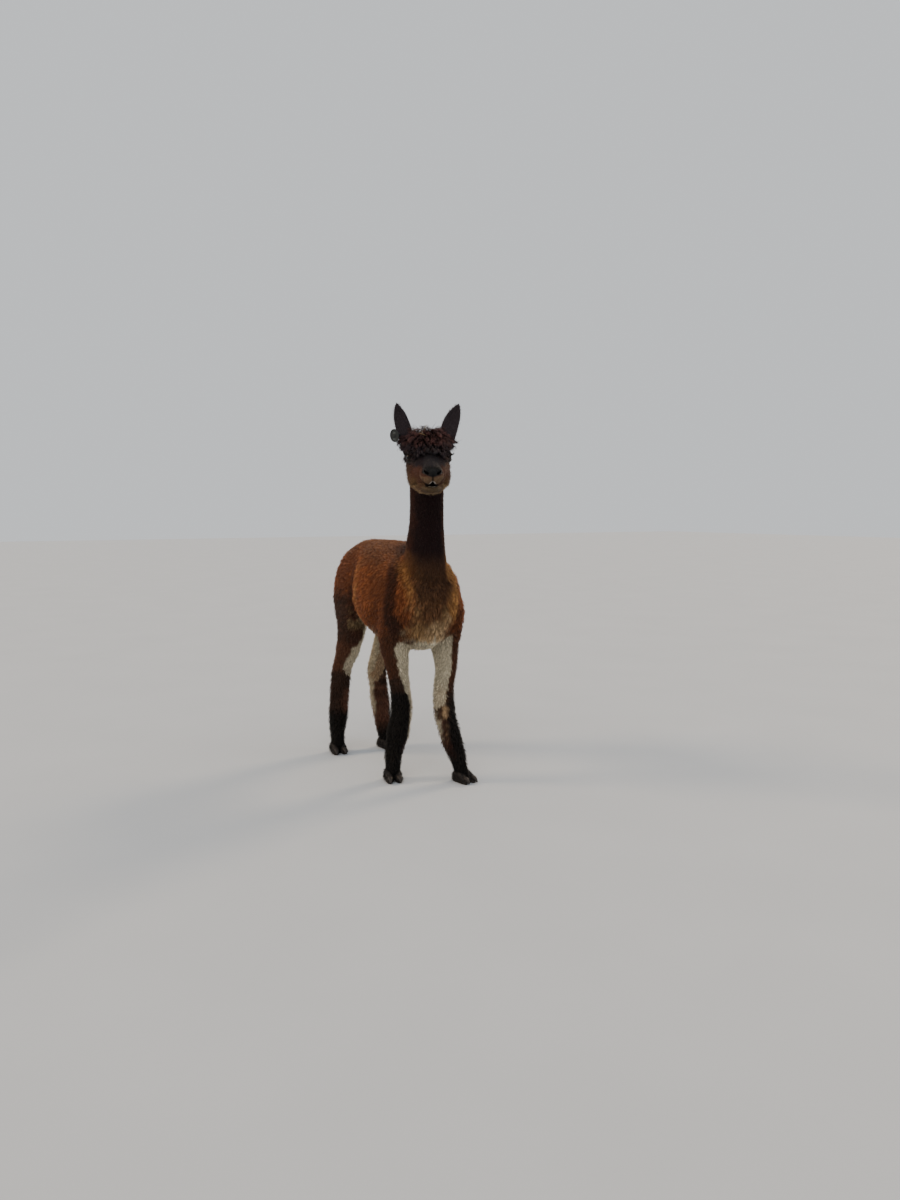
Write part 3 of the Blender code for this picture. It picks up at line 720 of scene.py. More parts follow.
def markings(points, normals):
    """Colour of the coat at points of the body, in linear light, and how bare the skin is there."""
    x, y, z = (points - HOME).T
    nx, ny, nz = normals.T
    side = np.abs(x)
    ragged = 0.6 * drift(points, 0.035, 21) + 0.4 * drift(points, 0.014, 22)
    patches = soft(drift(points, 0.16, 23) + 0.5 * ragged, 0.1, 0.9)
    # painted shade: a dark band down each shoulder, and over the lower flank behind it
    band = soft(np.abs(y + 0.245 - 0.10 * (z - 0.75) + 0.012 * ragged), 0.040, 0.016)
    band = band * soft(side, 0.085, 0.110) * soft(z, 0.54, 0.60) * soft(z, 0.88, 0.82)
    low = soft(z + 0.02 * ragged, 0.70, 0.62) * soft(y, 0.02, -0.06) * soft(nz, 0.2, -0.2)
    # painted rim light on the fold in front of each thigh, and painted shade behind it
    fold = soft(y, 0.015, 0.050) * soft(y, 0.095, 0.070) * soft(z, 0.52, 0.60)
    fold = np.where(x < 0, 0.40, 0.20) * fold * soft(nz, 0.6, 0.1) * soft(ragged, -0.9, 0.3)
    dark = soft(y, 0.085, 0.110) * soft(y, 0.165, 0.135) * soft(z, 0.88, 0.80)
    # chest: painted gold rim light along both sides of the neck's foot, brown below it, buff low between the
    # forelegs
    across = np.abs(x + 0.028)
    front = soft(y, -0.22, -0.29)
    reach = np.where(x + 0.028 > 0, 0.130, 0.090)
    painted_rim_light = soft(across + 0.008 * ragged, 0.046, 0.062) * soft(across, reach, reach - 0.026)
    painted_rim_light = painted_rim_light * soft(z + 0.02 * ragged, np.where(x > 0, 0.60, 0.67), np.where(x > 0, 0.67, 0.73))
    centre = 0.05 * soft(across, 0.05, 0.02)
    lower = soft(z + 0.03 * ragged, 0.72 - centre, 0.64 - centre)
    middle = np.abs(x - 0.015) - 0.03 * soft(z, 0.59, 0.56)
    pale = soft(middle + 0.018 * ragged, 0.070, 0.020) * soft(z + 0.03 * ragged, 0.68, 0.59)
    # cream belly, which comes forwards between the forelegs
    under = soft(nz + 0.12 * ragged, -0.50, -0.80) * soft(z, 0.66, 0.60)
    foot = soft(z + 0.010 * ragged, 0.566, 0.550) * soft(nz, -0.15, -0.40) * soft(y, -0.18, -0.22)
    colours = layered(np.tile(COAT_LIGHT["flank"], (len(points), 1)), (
        ("back", soft(nz + 0.25 * ragged, 0.25, 0.75)),
        # painted shade in patches over the sides
        ("shadow", 0.38 * patches * soft(nz, 0.5, 0.1)),
        ("shadow", 0.80 * band),
        ("shadow", 0.32 * low),
        ("rump", soft(y, 0.12, 0.20) * soft(nz, 0.9, 0.4)),
        # painted rim light on the fold in front of each thigh
        ("rim", fold),
        # painted shade behind that fold
        ("shadow", 0.75 * dark * soft(side, 0.05, 0.08)),
        ("thigh", soft(y, 0.10, 0.17) * soft(z + 0.02 * ragged, 0.74, 0.66)),
        # painted gold rim light along both sides of the neck's foot
        ("rim", np.where(x > 0, 0.76, 0.58) * front * painted_rim_light),
        ("throat", front * soft(across + 0.010 * ragged, 0.070, 0.040)),
        ("chest", front * soft(across + 0.020 * ragged, 0.085, 0.040) * lower),
        ("bib", 0.72 * front * pale),
        ("belly", under),
        ("cream", under * soft(side + 0.01 * ragged, 0.11, 0.07) * soft(y, 0.10, 0.0)),
        ("cream", foot * soft(side, 0.10, 0.08)),
    ))
    colours = leg_markings(colours, points, normals, ragged)
    # neck: near black in front, redder behind, fading into the shoulders
    flare = 0.080 * soft(-nx, 0.45, 0.90) + 0.12 * soft(nx, 0.25, 0.85)
    on_neck = soft(above_shoulders(points) + 0.02 * ragged - flare, -0.095, 0.0)
    neck = layered(np.tile(COAT_LIGHT["neck"], (len(points), 1)), (
        ("nape", soft(ny + 0.12 * ragged, 0.25, 0.75)),
        ("nape", 0.65 * soft(np.abs(0.9 * nx - 0.4 * ny) + 0.1 * ragged, 0.68, 0.98)),
        ("throat", 0.6 * soft(z, 0.90, 0.80) * soft(ny, 0.4, -0.2)),
    ))
    face, bare = face_markings(points, ragged)
    on_head = head_share(points)
    return blended(blended(colours, neck, on_neck), face, on_head), bare * on_head


# How far round a leg the cream reaches at each height: 1 is the innermost line, -1 the outermost
CREAM_EDGES = {
    "front_right": (
        (0.14, 1.20), (0.17, 0.60), (0.28, 0.48), (0.31, 0.40), (0.345, 0.15),
        (0.39, -0.22), (0.43, -0.42), (0.54, -0.50), (0.60, 0.40),
    ),
    "front_left": (
        (0.15, 1.20), (0.18, 0.95), (0.285, 0.92), (0.31, 0.55), (0.335, 0.25),
        (0.37, 0.10), (0.41, 0.02), (0.55, 0.00), (0.62, 0.30),
    ),
    "hind_right": (
        (0.325, 1.20), (0.345, 0.20), (0.37, -0.45), (0.41, -0.36), (0.455, -0.15),
        (0.49, 0.40), (0.62, 0.55),
    ),
    "hind_left": (
        (0.285, 1.20), (0.305, 0.50), (0.33, -0.30), (0.39, -0.50), (0.50, -0.35),
        (0.56, -0.15), (0.62, 0.20),
    ),
}


def leg_markings(colours, points, normals, ragged):
    """Cream inner sides, brown outer sides and near-black shins."""
    x, y, z = (points - HOME).T
    hind = soft(y, 0.02, 0.08)
    left = (x > 0).astype(float)
    inner, behind = -np.sign(x) * normals[:, 0], normals[:, 1]
    low = z + 0.02 * ragged
    on_leg = soft(z + 0.015 * ragged, 0.60, 0.53) * soft(np.abs(x) + 0.01 * ragged, 0.040, 0.065)
    edge = np.zeros(len(points))
    for leg, rows in CREAM_EDGES.items():
        here = ((hind > 0.5) == leg.startswith("hind")) & ((x > 0) == leg.endswith("left"))
        edge = np.where(here, np.interp(z, *zip(*rows)), edge)
    patch = hind * soft(behind + 0.2 * ragged, -0.35, -0.65)
    patch = patch * soft(z, 0.545, 0.565) * soft(z, 0.665, 0.630) * soft(ragged, -0.5, 0.3)
    shin_top = np.where(hind > 0.5, 0.345, 0.385 - 0.035 * left)
    low_edge = np.where(hind > 0.5, 0.20, shin_top - 0.01)
    # red-brown runs down the inner side of each shin; the left hind one is brown down to the fetlock
    calf = (1 - hind) * soft(inner + 0.22 * ragged, 0.25, 0.80) * soft(z, 0.08, 0.16) * soft(z, 0.36, 0.30)
    near = soft(inner - 0.3 * behind + 0.3 * ragged, 0.0, 0.6) * soft(np.abs(z - 0.235), 0.060, 0.030)
    brown = hind * left * soft(inner - 0.5 * behind + 0.2 * ragged, -0.60, 0.10)
    brown = brown * soft(z, 0.07, 0.16) * soft(z, 0.34, 0.30)
    creases = soft(drift(points * (1, 1, 3.0), 0.045, 24), -0.1, 0.6) * soft(np.abs(z - 0.25), 0.07, 0.04)
    top = 0.60 + 0.08 * hind + 0.01 * ragged
    cream = soft(inner + 0.16 * ragged, edge - 0.07, edge + 0.09) * soft(z, top, top - 0.03)
    tan = cream * hind * left * soft(inner + 0.3 * ragged, 0.95, 0.60)
    # the left hock's inner edge stays pale, and painted shade marks a fold at its outer front
    pale = hind * left * soft(inner + 0.15 * ragged, 0.80, 0.95) * soft(z, 0.13, 0.20) * soft(z, 0.33, 0.28)
    fold = hind * left * soft(inner, 0.35, 0.05) * soft(np.abs(z - 0.300 + 0.01 * ragged), 0.024, 0.010)
    return layered(colours, (
        ("forearm", on_leg * (1 - hind)),
        ("gaskin", on_leg * hind * soft(low, 0.53, 0.47)),
        ("patch", 0.8 * patch),
        ("hock", on_leg * soft(low, shin_top + 0.04, shin_top)),
        ("shin", on_leg * soft(low, low_edge, low_edge - 0.04)),
        ("calf", 0.9 * calf),
        ("shank", 0.85 * hind * (1 - left) * near),
        ("shank", brown * (1 - 0.55 * creases)),
        ("cream", cream * (1 - 0.22 * soft(z, 0.42, 0.34))),
        ("stocking", 0.85 * tan),
        ("cream", 0.8 * pale),
        # painted shade in the fold at the left hock's outer front
        ("hock", 0.9 * fold),
        ("foot", soft(z, 0.10, 0.06)),
    ))


def face_markings(points, ragged):
    """Dark brow and bridge, red-brown cheeks that pale along the jaw, tan lips and a black nose."""
    f, s, u = head_places(points)
    side = np.abs(s)
    cheek = soft(u + 0.010 * ragged, 0.006, -0.016) * soft(side + 0.1 * (f - 0.05), 0.018, 0.034)
    width = 0.014 + 0.16 * np.clip(f - 0.03, 0, 0.10)
    bridge = soft(side + 0.003 * ragged, width + 0.009, width)
    bridge = bridge * soft(u, -0.026, -0.010) * soft(f, 0.025, 0.050)
    nose = soft(f, 0.124, 0.134) * soft(u - 0.3 * (side - 0.015), -0.029, -0.025) * soft(u, 0.006, -0.004)
    split = np.exp(-((s / 0.0026) ** 2)) * soft(f, 0.130, 0.140)
    split = split * soft(u, -0.064, -0.056) * soft(u, -0.022, -0.028)
    rims = [soft(np.linalg.norm(points - eye_middle(sign), axis=1), 0.0235, 0.0195) for sign in (-1, 1)]
    # painted shade inside the mouth over the dark skin of the lower lip's inner edge, and a painted highlight
    # on the moist edges of the split upper lip
    opening = soft(f, 0.104, 0.114) * soft(side, 0.024, 0.020) * soft(np.abs(u + 0.0630), 0.0072, 0.0054)
    notch = (side / 0.0095) ** 2 + ((u + 0.0560) / 0.0095) ** 2
    opening = np.maximum(opening, soft(f, 0.110, 0.114) * soft(notch, 1.15, 0.95))
    ring = (side / 0.0080) ** 2 + ((u + 0.0560) / 0.0080) ** 2
    edge = soft(ring, 0.80, 1.00) * soft(ring, 2.30, 1.80) * soft(f, 0.132, 0.138) * soft(u, -0.0600, -0.0580)
    share, which = ear_share(points)
    colours = layered(np.tile(COAT_LIGHT["crown"], (len(points), 1)), (
        ("brow", soft(f, -0.03, 0.01)),
        ("cheek", cheek * soft(f, -0.05, 0.02)),
        ("jowl", soft(u + 0.012 * ragged, -0.036, -0.064) * soft(f, -0.02, 0.04)),
        ("cheek", 0.8 * soft(f, 0.06, 0.09) * soft(u, -0.006, -0.016)),
        ("lip", soft(f, 0.104, 0.126) * soft(u + 0.004 * ragged, -0.024, -0.034)),
        ("chin", soft(f, 0.100, 0.120) * soft(u, -0.064, -0.070)),
        ("jowl", 0.6 * soft(f, 0.100, 0.120) * soft(u, -0.080, -0.088)),
        # dark bridge, its grey cast a painted highlight along the top of the nose
        ("bridge", bridge),
        ("leather", nose),
        ("leather", 0.8 * split),
        ("leather", rims[0]),
        ("leather", rims[1]),
        # painted shade inside the mouth, over the dark skin of the lower lip
        ("mouth", opening),
        # painted highlight on the moist edges of the split upper lip
        ("wet_lip_highlight", 0.9 * edge),
        # the ears' dark fur, its blue-grey cast painted sky sheen
        ("ear", (which != 0) * soft(share, 0.12, 0.24)),
    ))
    bare = nose * soft(f, 0.134, 0.141) * soft(u + 0.003 * ragged, 0.004, -0.010)
    return colours, np.max([bare, *rims, opening, edge], axis=0)


# ---------------------------------------------------------------- lie of the coat


def lie_of_coat(points, normals):
    """The way the hair points along the skin."""
    _, y, z = (points - HOME).T
    nz = normals[:, 2]
    way = np.stack([0 * nz, 0.62 + 0.5 * soft(nz, 0.2, 0.9), -0.85 * soft(nz, 1.0, 0.3)], 1)
    for other, share in (
        ((0.0, 1.0, 0.05), soft(nz, -0.45, -0.75)),
        ((0.0, 0.10, -1.0), soft(y, -0.22, -0.32)),
        ((0.0, 0.15, -1.0), soft(y, 0.22, 0.34) * soft(nz, 0.8, 0.3)),
        ((0.0, 0.16, -1.0), soft(z, 0.62, 0.50)),
        ((0.03, 0.20, -1.0), soft(above_shoulders(points), -0.04, 0.06)),
        ((0.0, 0.12, -1.0), soft(y, 0.405, 0.420) * soft(z, 0.83, 0.81)),
    ):
        way = blended(way, other, share)
    # the face's hair runs back from the nose, and down behind the cheeks
    f, s, u = head_places(points)
    down = 0.55 * soft(u, 0.0, -0.05)
    aside = 0.25 * np.sign(s) * soft(np.abs(s), 0.01, 0.04)
    back = -AHEAD - down[:, None] * ABOVE + aside[:, None] * LEFT
    back = np.where((f < 0.03)[:, None], 0.4 * back + 0.6 * (-0.65 * AHEAD - 0.9 * ABOVE), back)
    # lips and chin: down from the nose
    back = blended(back, -ABOVE - 0.25 * AHEAD, soft(f, 0.122, 0.140) * soft(u, -0.024, -0.032))
    # the crown parts from its middle and falls forwards over the brow
    spread = unit(np.stack([f + 0.075, 1.1 * s], 1))
    falling = spread[:, :1] * AHEAD + spread[:, 1:] * LEFT - 0.35 * ABOVE
    back = blended(back, falling, soft(u + 0.35 * f, 0.020, 0.040) * soft(f, 0.070, 0.050))
    on_head = head_share(points)
    way = blended(unit(way), unit(back), on_head)
    _, which = ear_share(points)
    for sign in (-1, 1):
        root, tip = ear_ends(sign)
        way = np.where((which == sign)[:, None], unit(tip - root), way)
    wander = np.stack([drift(points, 0.10, seed) for seed in (31, 32, 33)], 1)
    way = unit(way) + 0.22 * wander * (1 - 0.6 * on_head[:, None])
    return along_skin(way, normals)


def blended(way, other, share):
    return way * (1 - share)[:, None] + np.array(other) * share[:, None]


def along_skin(way, normals):
    """The ways, laid flat against the skin."""
    return unit(way - (way * normals).sum(1, keepdims=True) * normals)


# ---------------------------------------------------------------- growing the coat


def corners_of(piece):
    """The three corners of each triangle, by number."""
    ids = np.empty(len(piece.data.loops), int)
    piece.data.loops.foreach_get("vertex_index", ids)
    return ids.reshape(-1, 3)


def unwrapped(piece):
    """Lays the skin's own shape out flat."""
    piece.data.uv_layers.new(name="OFBake")
    activate(piece)
    bpy.ops.object.mode_set(mode="EDIT")
    bpy.ops.mesh.select_all(action="SELECT")
    bpy.ops.uv.smart_project(angle_limit=math.radians(66), island_margin=0.004)
    bpy.ops.object.mode_set(mode="OBJECT")
    return piece


class Swatch:
    """Part of the hide with its own unwrap, on which roots are set."""

    def __init__(self, skin, chosen):
        used, ids = np.unique(corners_of(skin)[chosen], return_inverse=True)
        ids = ids.reshape(-1, 3)
        swatch = unwrapped(new_piece("swatch", points_of(skin)[used], ids.tolist()))
        flat = np.empty(len(swatch.data.loops) * 2)
        swatch.data.uv_layers["OFBake"].data.foreach_get("uv", flat)
        bpy.data.objects.remove(swatch)
        self.points, self.normals = points_of(skin)[used][ids], normals_of(skin)[used][ids]
        self.flat = flat.reshape(-1, 3, 2)
        first, second, third = self.points.transpose(1, 0, 2)
        self.area = 0.5 * np.linalg.norm(np.cross(second - first, third - first), axis=1)

    def roots(self, spacing, seed):
        """Roots about spacing apart: points, normals and places on the unwrap."""
        rng = np.random.default_rng(seed)
        count = int(self.area.sum() / spacing**2 * 2.2)
        sums = np.cumsum(self.area)
        face = np.searchsorted(sums, rng.uniform(0, sums[-1], count)).clip(0, len(sums) - 1)
        a, b = rng.uniform(size=(2, count))
        turn = a + b > 1
        a, b = np.where(turn, 1 - a, a), np.where(turn, 1 - b, b)
        share = np.stack([1 - a - b, a, b], 1)[:, :, None]
        points = (self.points[face] * share).sum(1)
        _, first = np.unique(cell_of(points, spacing * 1.08), return_index=True)
        first.sort()
        normals = unit((self.normals[face] * share).sum(1))
        flat = (self.flat[face] * share).sum(1)
        return points[first], normals[first], flat[first]


def cell_of(points, size):
    """A number of its own for every cube of space that points lie in."""
    cells = np.floor(points / size).astype(np.int64) + 4096
    return (cells[:, 0] * 8192 + cells[:, 1]) * 8192 + cells[:, 2]


def gathered(points, size, seed):
    """Numbers the lock that each root belongs to; locks are about size across."""
    bent = points + 0.55 * size * np.stack([drift(points, 4 * size, seed + k) for k in range(3)], 1)
    _, lock = np.unique(cell_of(bent, size), return_inverse=True)
    return lock.ravel()


def mean_by(lock, values):
    count = np.bincount(lock).astype(float)
    if values.ndim == 1:
        return (np.bincount(lock, values) / count)[lock]
    return np.stack([np.bincount(lock, values[:, k]) / count for k in range(values.shape[1])], 1)[lock]


# Share of a tuft's length and its width there; the last one is its point
FINE = ((0.0, 1.0), (1.0, 0.0))
CURVED = ((0.0, 0.72), (0.48, 1.0), (1.0, 0.0))
WAVY = ((0.0, 0.60), (0.30, 1.0), (0.66, 0.82), (1.0, 0.0))
SWEPT = ((0.0, 0.60), (0.22, 1.0), (0.48, 0.95), (0.75, 0.70), (1.0, 0.0))

ROOT_DEPTH = 0.0012  # how far roots reach into the hide
FLOOR_GAP = 0.0008  # the least height of any hair


def grow(name, roots, seed, stations, length, radius, lift, locks, pull, **habit):
    """One piece of coat: a closed three-sided tuft on every root.

    stations give the width along a tuft, lift how steeply the tufts rise, locks the size of the
    locks that they gather in and pull how tightly. habit may give the way they lie, their colours,
    their arch, frizz and crimp, how dark their roots and how light their tips are, and how much
    the locks differ in tone.
    """
    points, normals, flat = roots
    rng = np.random.default_rng(seed)
    count = len(points)
    way = habit["way"] if "way" in habit else lie_of_coat(points, normals)
    colours = habit["colours"] if "colours" in habit else markings(points, normals)[0]
    arch, frizz, crimp = habit.get("arch", 0.16), habit.get("frizz", 0.10), habit.get("crimp", 0.0)
    lock = gathered(points, locks, seed)
    whim = rng.normal(size=(lock.max() + 1, 5))[lock].clip(-2, 2)
    length = length * (1 + 0.16 * whim[:, 0]) * rng.uniform(0.78, 1.15, count)
    side = np.cross(normals, way)
    heading = unit(way + side * (0.20 * whim[:, 1] + frizz * rng.normal(size=count))[:, None])
    rise = (lift * (1 + 0.22 * whim[:, 2]) + 0.10 * lift * rng.normal(size=count)).clip(0.04, 1.6)
    reach = unit(heading + rise[:, None] * normals) * length[:, None]
    middle = mean_by(lock, points)
    gather = middle + mean_by(lock, reach) * 1.04
    end = points + reach
    end = end + pull * (gather + 0.22 * (points - middle) - end)
    bow = (arch * length * np.minimum(1.0, 0.4 + rise))[:, None] * normals
    bow = bow + side * (0.45 * frizz * length * rng.normal(size=count))[:, None]
    wave = (0.5 * crimp * length)[:, None] * unit(side + 0.5 * normals)
    phase = 2 * np.pi * rng.uniform(size=lock.max() + 1)[lock] + 0.5 * rng.normal(size=count)
    across = unit(np.cross(normals, end - points))
    outward = unit(np.cross(end - points, across))
    radius = np.broadcast_to(radius, count)
    turns = [math.radians(a) for a in (90, 210, 330)]
    corners = []
    for share, width in stations:
        hump = 4 * share * (1 - share)
        swing = np.sin(2 * np.pi * 1.15 * share + phase) - np.sin(phase)
        centre = points + share * (end - points) + hump * bow + swing[:, None] * wave
        centre = centre + pull * 0.12 * hump * (middle - points)
        if share == 0:
            centre = centre - ROOT_DEPTH * normals
        if share == 1:
            corners.append(centre)
            break
        for turn in turns:
            corners.append(
                centre
                + (radius * width * math.cos(turn))[:, None] * across
                + (0.55 * radius * width * math.sin(turn))[:, None] * outward
            )
    per = len(corners)
    faces, patch = tuft_pattern(len(stations))
    ids = (np.arange(count)[:, None, None] * per + faces[None]).reshape(-1)
    uv = (flat[:, None, None] + 0.003 * (patch - 0.5)[None]).reshape(-1, 2)
    tone = (1 + habit.get("mottle", 0.16) * whim[:, 3] + 0.09 * rng.normal(size=count)).clip(0.35, 1.9)
    # the tone runs from dark roots, painted shade deep in the coat, to light tips, the fibre's paler ends
    # with painted light over them
    shares = np.array([share for share, _ in stations[:-1] for _ in turns] + [1.0]) ** 0.8
    root_tone, tip_tone = habit.get("root_tone", 0.42), habit.get("tip_tone", 1.35)
    tone = tone[:, None] * (root_tone + (tip_tone - root_tone) * shares)
    tint = np.broadcast_to(colours, points.shape)[:, None] * tone[:, :, None]
    tint = np.concatenate([tint, np.ones((count, per, 1))], 2).reshape(-1, 4).clip(0, 1)
    corners = np.stack(corners, 1).reshape(-1, 3)
    corners[:, 2] = np.maximum(corners[:, 2], FLOOR_GAP)
    return tuft_mesh(name, corners, ids, uv, tint)


def tuft_pattern(rings):
    """Faces of a tuft that goes through three-cornered rings to a point, and their patch of unwrap."""
    faces, patch = [(0, 2, 1)], [((0.0, 0.0), (1.0, 0.0), (0.5, 0.06))]
    last = 3 * (rings - 1)
    for r in range(rings - 1):
        low, high = r / (rings - 1), (r + 1) / (rings - 1)
        for k in range(3):
            n = (k + 1) % 3
            a, b = 3 * r + k, 3 * r + n
            left, right = k / 3, (k + 1) / 3
            if r < rings - 2:
                c, d = a + 3, b + 3
                faces += [(a, b, d), (a, d, c)]
                patch.append(((left, low), (right, low), (right, high)))
                patch.append(((left, low), (right, high), (left, high)))
            else:
                faces.append((a, b, last))
                patch.append(((left, low), (right, low), ((left + right) / 2, high)))
    return np.array(faces), np.array(patch)


def tuft_mesh(name, vertices, ids, uv, tint):
    mesh = bpy.data.meshes.new(name)
    total = len(ids) // 3
    mesh.vertices.add(len(vertices))
    mesh.vertices.foreach_set("co", vertices.ravel())
    mesh.loops.add(len(ids))
    mesh.loops.foreach_set("vertex_index", ids)
    mesh.polygons.add(total)
    mesh.polygons.foreach_set("loop_start", np.arange(total) * 3)
    mesh.polygons.foreach_set("use_smooth", np.ones(total, bool))
    mesh.uv_layers.new(name="OFBake").data.foreach_set("uv", uv.ravel())
    mesh.color_attributes.new("coat", "FLOAT_COLOR", "POINT").data.foreach_set("color", tint.ravel())
    mesh.update(calc_edges=True)
    made = bpy.data.objects.new(name, mesh)
    bpy.context.scene.collection.objects.link(made)
    return made


def merged(name, pieces):
    return named(joined(pieces) if len(pieces) > 1 else pieces[0], name)


# ---------------------------------------------------------------- materials


def wired(tree, target, **inputs):
    """Links or sets a node's named inputs."""
    for name, value in inputs.items():
        socket = target.inputs[name.replace("_", " ")]
        if isinstance(value, bpy.types.NodeSocket):
            tree.links.new(value, socket)
        else:
            socket.default_value = value
    return target


def node(tree, kind, settings=None, steps=(), **inputs):
    """Adds a node with its settings, its colours if it is a ramp, and its named inputs."""
    made = tree.nodes.new(kind)
    for setting, value in (settings or {}).items():
        setattr(made, setting, value)
    for order, (place, code) in enumerate(steps):
        step = made.color_ramp.elements[order] if order < 2 else made.color_ramp.elements.new(place)
        step.position, step.color = place, rgba(code)
    return wired(tree, made, **inputs)


def new_material(name):
    """An empty material with its shader."""
    made = bpy.data.materials.new(name)
    made.use_nodes = True
    tree = made.node_tree
    tree.nodes.clear()
    shader = node(tree, "ShaderNodeBsdfPrincipled")
    node(tree, "ShaderNodeOutputMaterial", Surface=shader.outputs["BSDF"])
    return made, tree, shader


def rgba(code):
    return (*light_of(code), 1.0)


def fibre_material():
    """Alpaca fibre: smooth scales give a soft silky sheen, strongest where it turns away."""
    made, tree, shader = new_material("alpaca_fibre")
    tint = node(tree, "ShaderNodeAttribute", {"attribute_name": "coat"})
    wired(
        tree, shader, Base_Color=tint.outputs["Color"], Roughness=0.62, Specular_IOR_Level=0.20,
        Sheen_Weight=0.04, Sheen_Roughness=0.35, Sheen_Tint=rgba("E0C4A6"),
    )
    return made


def hide_material():
    """Close undercoat over tanned skin: matt, with fine streaks about 2 mm wide; bare skin is smoother."""
    made, tree, shader = new_material("undercoat_on_skin")
    tint = node(tree, "ShaderNodeAttribute", {"attribute_name": "coat"})
    bare = node(tree, "ShaderNodeAttribute", {"attribute_name": "bare"}).outputs["Fac"]
    place = node(tree, "ShaderNodeTexCoord").outputs["Object"]
    lain = node(tree, "ShaderNodeMapping", Vector=place, Scale=(1.0, 1.0, 0.3))
    streak = node(
        tree, "ShaderNodeTexNoise", Vector=lain.outputs["Vector"], Scale=420.0, Detail=3.0, Roughness=0.6
    ).outputs["Fac"]
    pores = node(tree, "ShaderNodeTexVoronoi", Vector=place, Scale=520.0)
    dark = node(
        tree, "ShaderNodeMapRange", Value=streak, From_Min=0.3, From_Max=0.7, To_Min=0.6, To_Max=1.2
    )
    mixed = node(tree, "ShaderNodeVectorMath", {"operation": "SCALE"}, Scale=dark.outputs["Result"])
    tree.links.new(tint.outputs["Color"], mixed.inputs[0])
    rough = node(tree, "ShaderNodeMapRange", Value=bare, To_Min=0.85, To_Max=0.58)
    gloss = node(tree, "ShaderNodeMapRange", Value=bare, To_Min=0.10, To_Max=0.18)
    height = node(tree, "ShaderNodeMix", {"data_type": "FLOAT"})
    for slot, source in enumerate((bare, None, streak, pores.outputs["Distance"])):
        if source:
            tree.links.new(source, height.inputs[slot])
    bump = node(tree, "ShaderNodeBump", Height=height.outputs[0], Strength=0.6, Distance=0.0012)
    wired(
        tree, shader, Base_Color=mixed.outputs["Vector"], Roughness=rough.outputs["Result"],
        Specular_IOR_Level=gloss.outputs["Result"], Normal=bump.outputs["Normal"],
    )
    return made


def eye_material():
    """Wet eye: dark brown iris with a level slit pupil under a clear cornea."""
    made, tree, shader = new_material("wet_eye")
    iris = node(tree, "ShaderNodeAttribute", {"attribute_name": "iris"})
    rings = ((0.30, "030202"), (0.36, "180D08"), (0.62, "22130B"), (0.74, "0D0705"), (0.90, "15100D"))
    tone = node(tree, "ShaderNodeValToRGB", steps=rings, Fac=iris.outputs["Fac"])
    wired(
        tree, shader, Base_Color=tone.outputs["Color"], Roughness=0.20, IOR=1.38, Specular_IOR_Level=0.15,
        Coat_Weight=0.15, Coat_Roughness=0.04,
    )
    return made


def horn_material():
    """Nail horn: grown in fine lengthwise ridges about 1 mm apart, dull from walking."""
    made, tree, shader = new_material("nail_horn")
    place = node(tree, "ShaderNodeTexCoord")
    lain = node(tree, "ShaderNodeMapping", Vector=place.outputs["Object"], Scale=(1.0, 0.15, 0.4))
    grain = node(tree, "ShaderNodeTexNoise", Vector=lain.outputs["Vector"], Scale=700.0, Detail=3.0)
    tone = node(
        tree, "ShaderNodeValToRGB", steps=((0.3, "0D0A09"), (0.7, "2B231E")), Fac=grain.outputs["Fac"]
    )
    bump = node(tree, "ShaderNodeBump", Height=grain.outputs["Fac"], Strength=0.5, Distance=0.0006)
    wired(
        tree, shader, Base_Color=tone.outputs["Color"], Normal=bump.outputs["Normal"], Roughness=0.58,
        Specular_IOR_Level=0.30,
    )
    return made


def pad_material():
    """Foot pad: tough leathery skin with grain about 2 mm across and dust in patches of about 11 mm."""
    made, tree, shader = new_material("pad_leather")
    place = node(tree, "ShaderNodeTexCoord").outputs["Object"]
    grain = node(tree, "ShaderNodeTexVoronoi", Vector=place, Scale=480.0)
    dust = node(tree, "ShaderNodeTexNoise", Vector=place, Scale=90.0, Detail=4.0)
    tone = node(
        tree, "ShaderNodeValToRGB", steps=((0.35, "191412"), (0.75, "3A302A")), Fac=dust.outputs["Fac"]
    )
    bump = node(tree, "ShaderNodeBump", Height=grain.outputs["Distance"], Strength=0.5, Distance=0.0008)
    wired(tree, shader, Base_Color=tone.outputs["Color"], Normal=bump.outputs["Normal"], Roughness=0.78)
    return made


def tooth_material():
    """Enamel: warm ivory, browner in blotches about 4 mm across, softly glossy."""
    made, tree, shader = new_material("enamel")
    place = node(tree, "ShaderNodeTexCoord")
    blotch = node(tree, "ShaderNodeTexNoise", Vector=place.outputs["Object"], Scale=260.0, Detail=3.0)
    tone = node(
        tree, "ShaderNodeValToRGB", steps=((0.3, "3E3424"), (0.6, "736852")), Fac=blotch.outputs["Fac"]
    )
    wired(tree, shader, Base_Color=tone.outputs["Color"], Roughness=0.28, IOR=1.62)
    return made


def tag_material(name, code, pale):
    """Moulded polyurethane tag: satin, with scuffs and dust that lighten it in patches of about 4 mm."""
    made, tree, shader = new_material(name)
    place = node(tree, "ShaderNodeTexCoord")
    scuff = node(tree, "ShaderNodeTexNoise", Vector=place.outputs["Object"], Scale=240.0, Detail=5.0)
    tone = node(tree, "ShaderNodeValToRGB", steps=((0.45, code), (0.80, pale)), Fac=scuff.outputs["Fac"])
    rough = node(tree, "ShaderNodeMapRange", Value=scuff.outputs["Fac"], To_Min=0.5, To_Max=0.75)
    wired(
        tree, shader, Base_Color=tone.outputs["Color"], Roughness=rough.outputs["Result"],
        Specular_IOR_Level=0.30,
    )
    return made


def dress(piece, material):
    piece.data.materials.clear()
    piece.data.materials.append(material)
    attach(piece, "root")
    return piece


# ---------------------------------------------------------------- coat pieces by place


